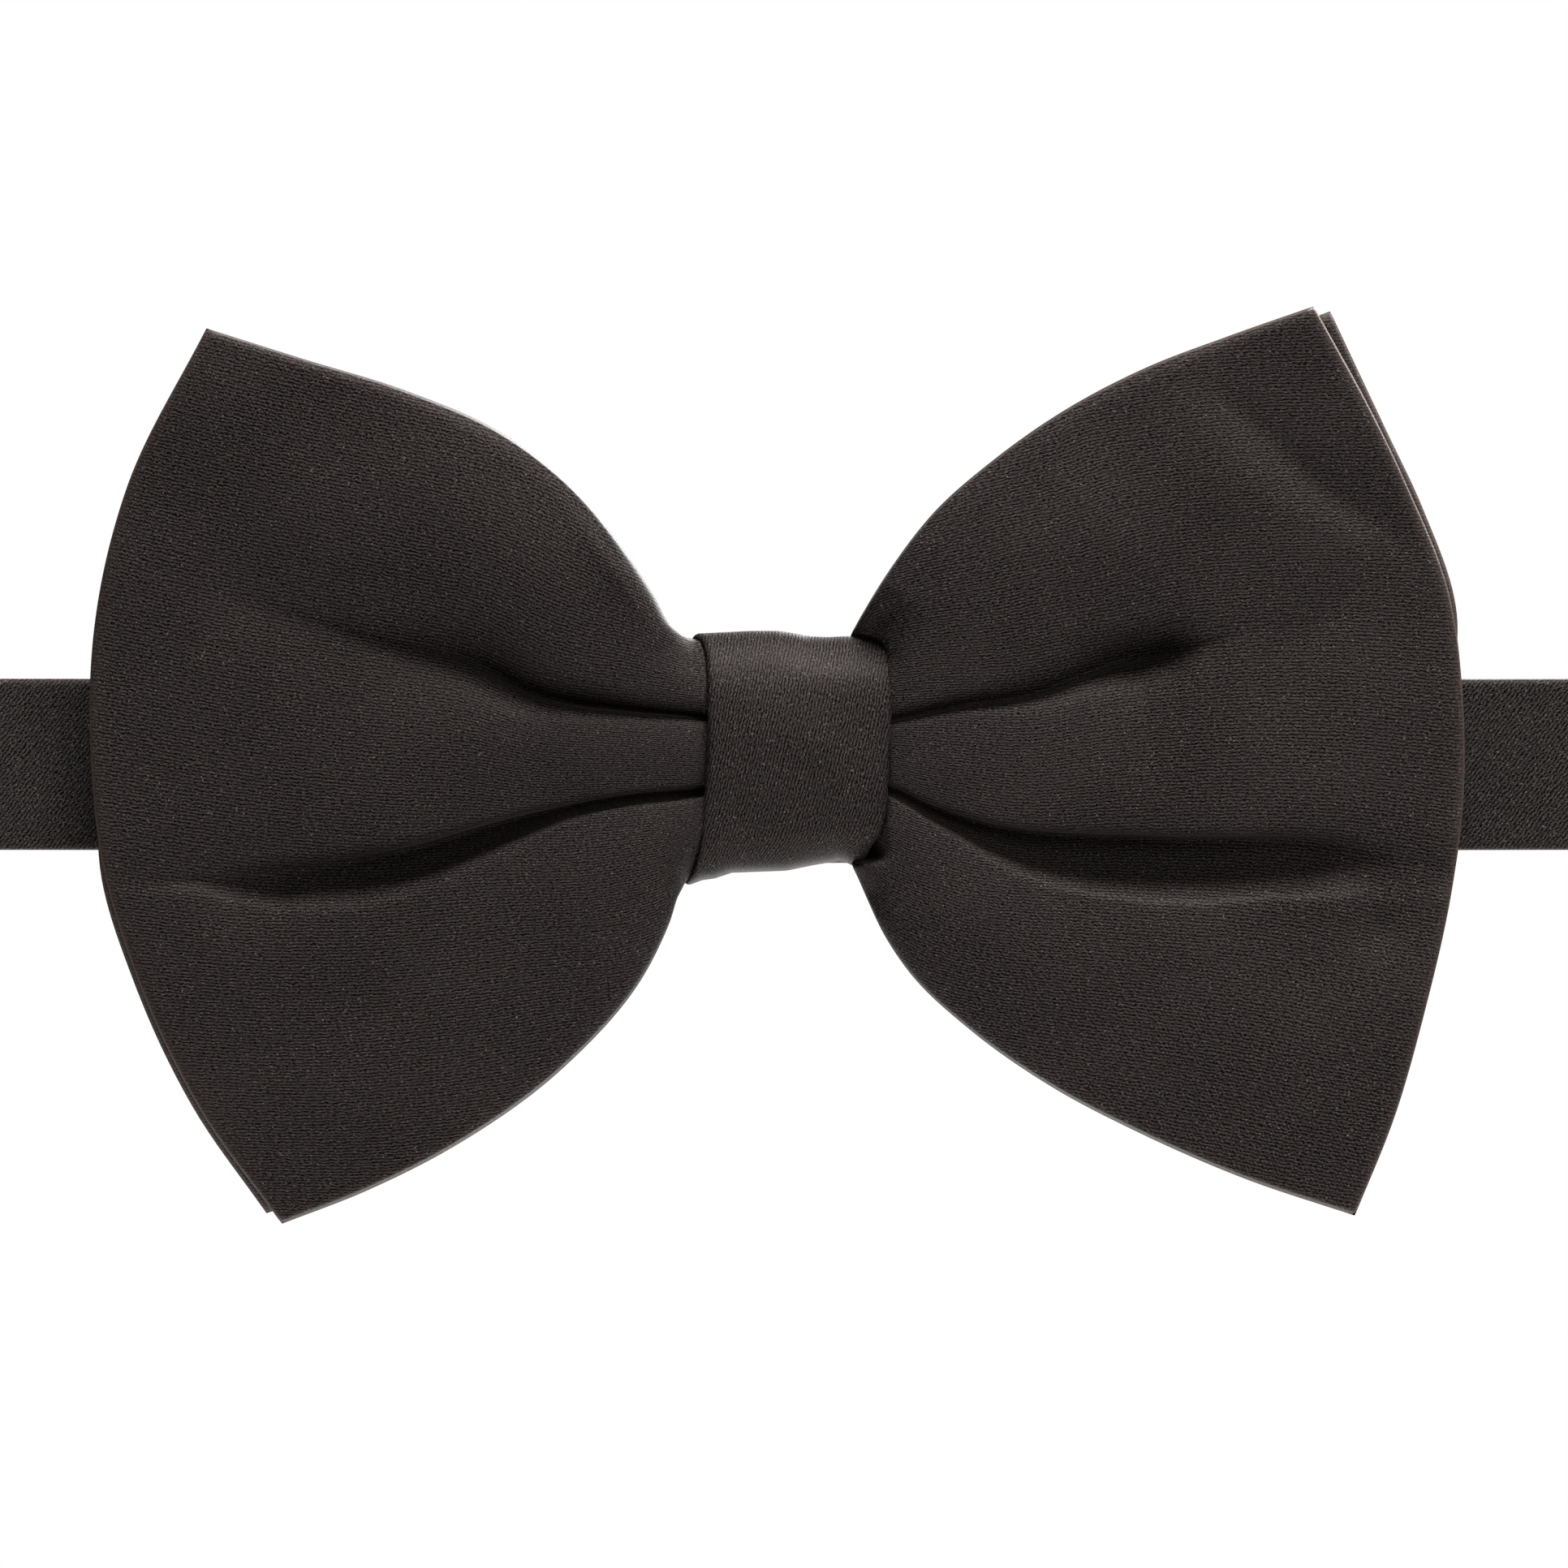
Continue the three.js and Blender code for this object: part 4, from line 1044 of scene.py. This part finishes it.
def swept(route, width, wave=0.0):
    """Middle surface of a strip that stands on edge along a route in plan."""
    plan = np.array(route, float)
    run = np.concatenate([[0], np.cumsum(np.linalg.norm(np.diff(plan, axis=0), axis=1))])
    tangent = np.gradient(plan, run, axis=0)
    tangent /= np.linalg.norm(tangent, axis=1, keepdims=True)
    side = np.stack([-tangent[:, 1], tangent[:, 0]], axis=1)
    level = (eased(BAND_ROWS, 0.75) - 0.5) * width
    ripple = wave * (np.sin(run * 0.21) + 0.6 * np.sin(run * 0.47 + 1.3))[:, None]
    ripple = ripple * np.sin(level[None, :] / width * math.pi + run[:, None] * 0.05)
    points = np.zeros((len(plan), len(level), 3))
    points[..., :2] = plan[:, None, :] + side[:, None, :] * ripple[..., None]
    points[..., 2] = level[None, :] + 0.35 * wave * np.sin(run * 0.11)[:, None]
    normals = np.zeros_like(points)
    normals[..., :2] = side[:, None, :]
    return points * MM, normals


def seam_relief(points):
    """Depth of the centre seam: a groove with one side lapped slightly over it."""
    level = points[..., 2] / MM
    groove = -0.3 * np.exp(-((level / 0.3) ** 2))
    lap = 0.14 * smoothstep(level, 0.05, 0.45) * (1 - smoothstep(level, 2.2, 4.0))
    return (groove + lap) * MM


BAND_WAVE = 0.06


def band_length(name, route, thick, wave=BAND_WAVE, seam=0, square=(False, False), turn=1):
    """A length of band. `seam` is 1 or -1 for the skin with the seam, `turn` sets the twill's way."""
    points, normals = swept(route, BAND_WIDTH, wave)
    run = run_lengths(points, 0)
    through_run = np.interp(run / run[-1:], np.linspace(0, 1, len(thick)), thick) * MM
    groove = seam_relief(points)
    relief = (groove if seam < 0 else 0, groove if seam > 0 else 0)
    uv = np.stack([turn * run, run_lengths(points, 1)], axis=-1)
    return pocket(name, points, through_run, uv, band_satin, normals, 0.55 * MM, square, relief)


# Each bend: the bodies at its two ends, and the points in metres where it starts and ends.
LEFT_BEND = ("neck_band", "left_arm", (-SIDE_X * MM, 0.0, 0), (-SIDE_X * MM, 0.05, 0))
LOOP_BEND = ("left_arm", "slider", (0.0017, 0, 0), (-0.0087, 0, 0))
LOOP_THICK = (BAND_THICK, TAB_THICK, TAB_THICK, TAB_THICK)
right_strap = band_length("right_strap", RIGHT_ROUTE, (BAND_THICK,), seam=1, square=(True, False))
declare(right_strap, "neck_band", "band_satin", "band_cloth")
left_strap = band_length("left_strap", LEFT_ROUTE, (BAND_THICK,), seam=-1, square=(True, True),
                         turn=-1)
declare(left_strap, LEFT_BEND, "band_satin", "arm_cloth")
adjuster_loop = band_length("adjuster_loop", LOOP_ROUTE, LOOP_THICK, wave=0.0,
                            square=(True, False), turn=-1)
declare(adjuster_loop, LOOP_BEND, "band_satin", "adjuster_return_ply", "slider_end_tab")

# %% [markdown]
# The canvas inside the band keeps it from twisting. It follows the same route, a little narrower and
# stopped short of the folded ends, and it bends and rides just as the satin round it does.

# %% Canvas inside the band
CANVAS_WIDTH = 13.6


def band_canvas(name, route, bend, node):
    trimmed = route[2:-3]
    points, normals = swept(trimmed, CANVAS_WIDTH, BAND_WAVE)
    piece = pocket(name, points, 0.3 * MM, strip_uv(points), canvas, normals, 0.12 * MM)
    declare(piece, bend, "interlining", node)


band_canvas("right_strap_canvas", RIGHT_ROUTE, "neck_band", "band_interlining")
band_canvas("left_strap_canvas", LEFT_ROUTE, LEFT_BEND, "arm_interlining")

# %% [markdown]
# The folded ends are held by bar tacks: a few long threads with a dense zigzag over them.

# %% Bar tacks


def bar_tack(name, x, y, outward, height=11.0, half_width=0.8, turns=46):
    points = []
    for level in (-0.35, 0.35):
        points += [(x + level, y, -height / 2), (x + level, y, height / 2)]
    for k in range(turns + 1):
        side = half_width if k % 2 else -half_width
        z = height * (0.5 - k / turns)
        points += [(x - side * 0.98, y - 0.1 * outward, z + 0.03), (x - side * 0.5, y + 0.2 * outward, z),
                   (x + side * 0.5, y + 0.2 * outward, z - 0.06)]
    return thread_piece(name, points, TACK_RADIUS)


eye_tack = bar_tack("eye_end_tack", EYE_BAR_X + 11, BACK_Y + 0.72, 1)
declare(eye_tack, "neck_band", "sewing_thread", "eye_bar_tack")
slider_tack = bar_tack("slider_end_tack", SLIDER_X + 7, INNER_PLY_Y - 0.42, -1)
declare(slider_tack, "slider", "sewing_thread", "slider_bar_tack")

# %% [markdown]
# Hook, eye and slider are stamped from one millimetre steel sheet and nickel plated. Stamping
# leaves soft edges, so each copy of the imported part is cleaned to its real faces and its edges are
# bevelled.

# %% Stamped fittings


SOFT_EDGE = 0.16 * MM
BEVEL_ABOVE, SHADE_SHARP_ABOVE = math.radians(24), math.radians(40)


def stamped(node, body, name):
    bm = bmesh.new()
    bm.from_mesh(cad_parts[node].data)
    bmesh.ops.remove_doubles(bm, verts=bm.verts, dist=1e-6)
    bmesh.ops.dissolve_limit(bm, angle_limit=math.radians(2), verts=bm.verts, edges=bm.edges)
    sharp = [e for e in bm.edges if len(e.link_faces) == 2 and e.calc_face_angle(0) > BEVEL_ABOVE]
    bmesh.ops.bevel(bm, geom=sharp, offset=SOFT_EDGE, offset_type="OFFSET", affect="EDGES", segments=3,
                    profile=0.5, material=-1, clamp_overlap=True)
    bmesh.ops.recalc_face_normals(bm, faces=bm.faces)
    mesh = bpy.data.meshes.new(name)
    bm.to_mesh(mesh)
    bm.free()
    for polygon in mesh.polygons:
        polygon.use_smooth = True
    mesh.set_sharp_from_angle(angle=SHADE_SHARP_ABOVE)
    mesh.materials.append(nickel)
    declare(placed(name, mesh), body, "nickel_plate", node)


stamped("hook", "hook", "hook_plate")
stamped("eye", "eye", "eye_plate")
stamped("slider", "slider", "slider_frame")
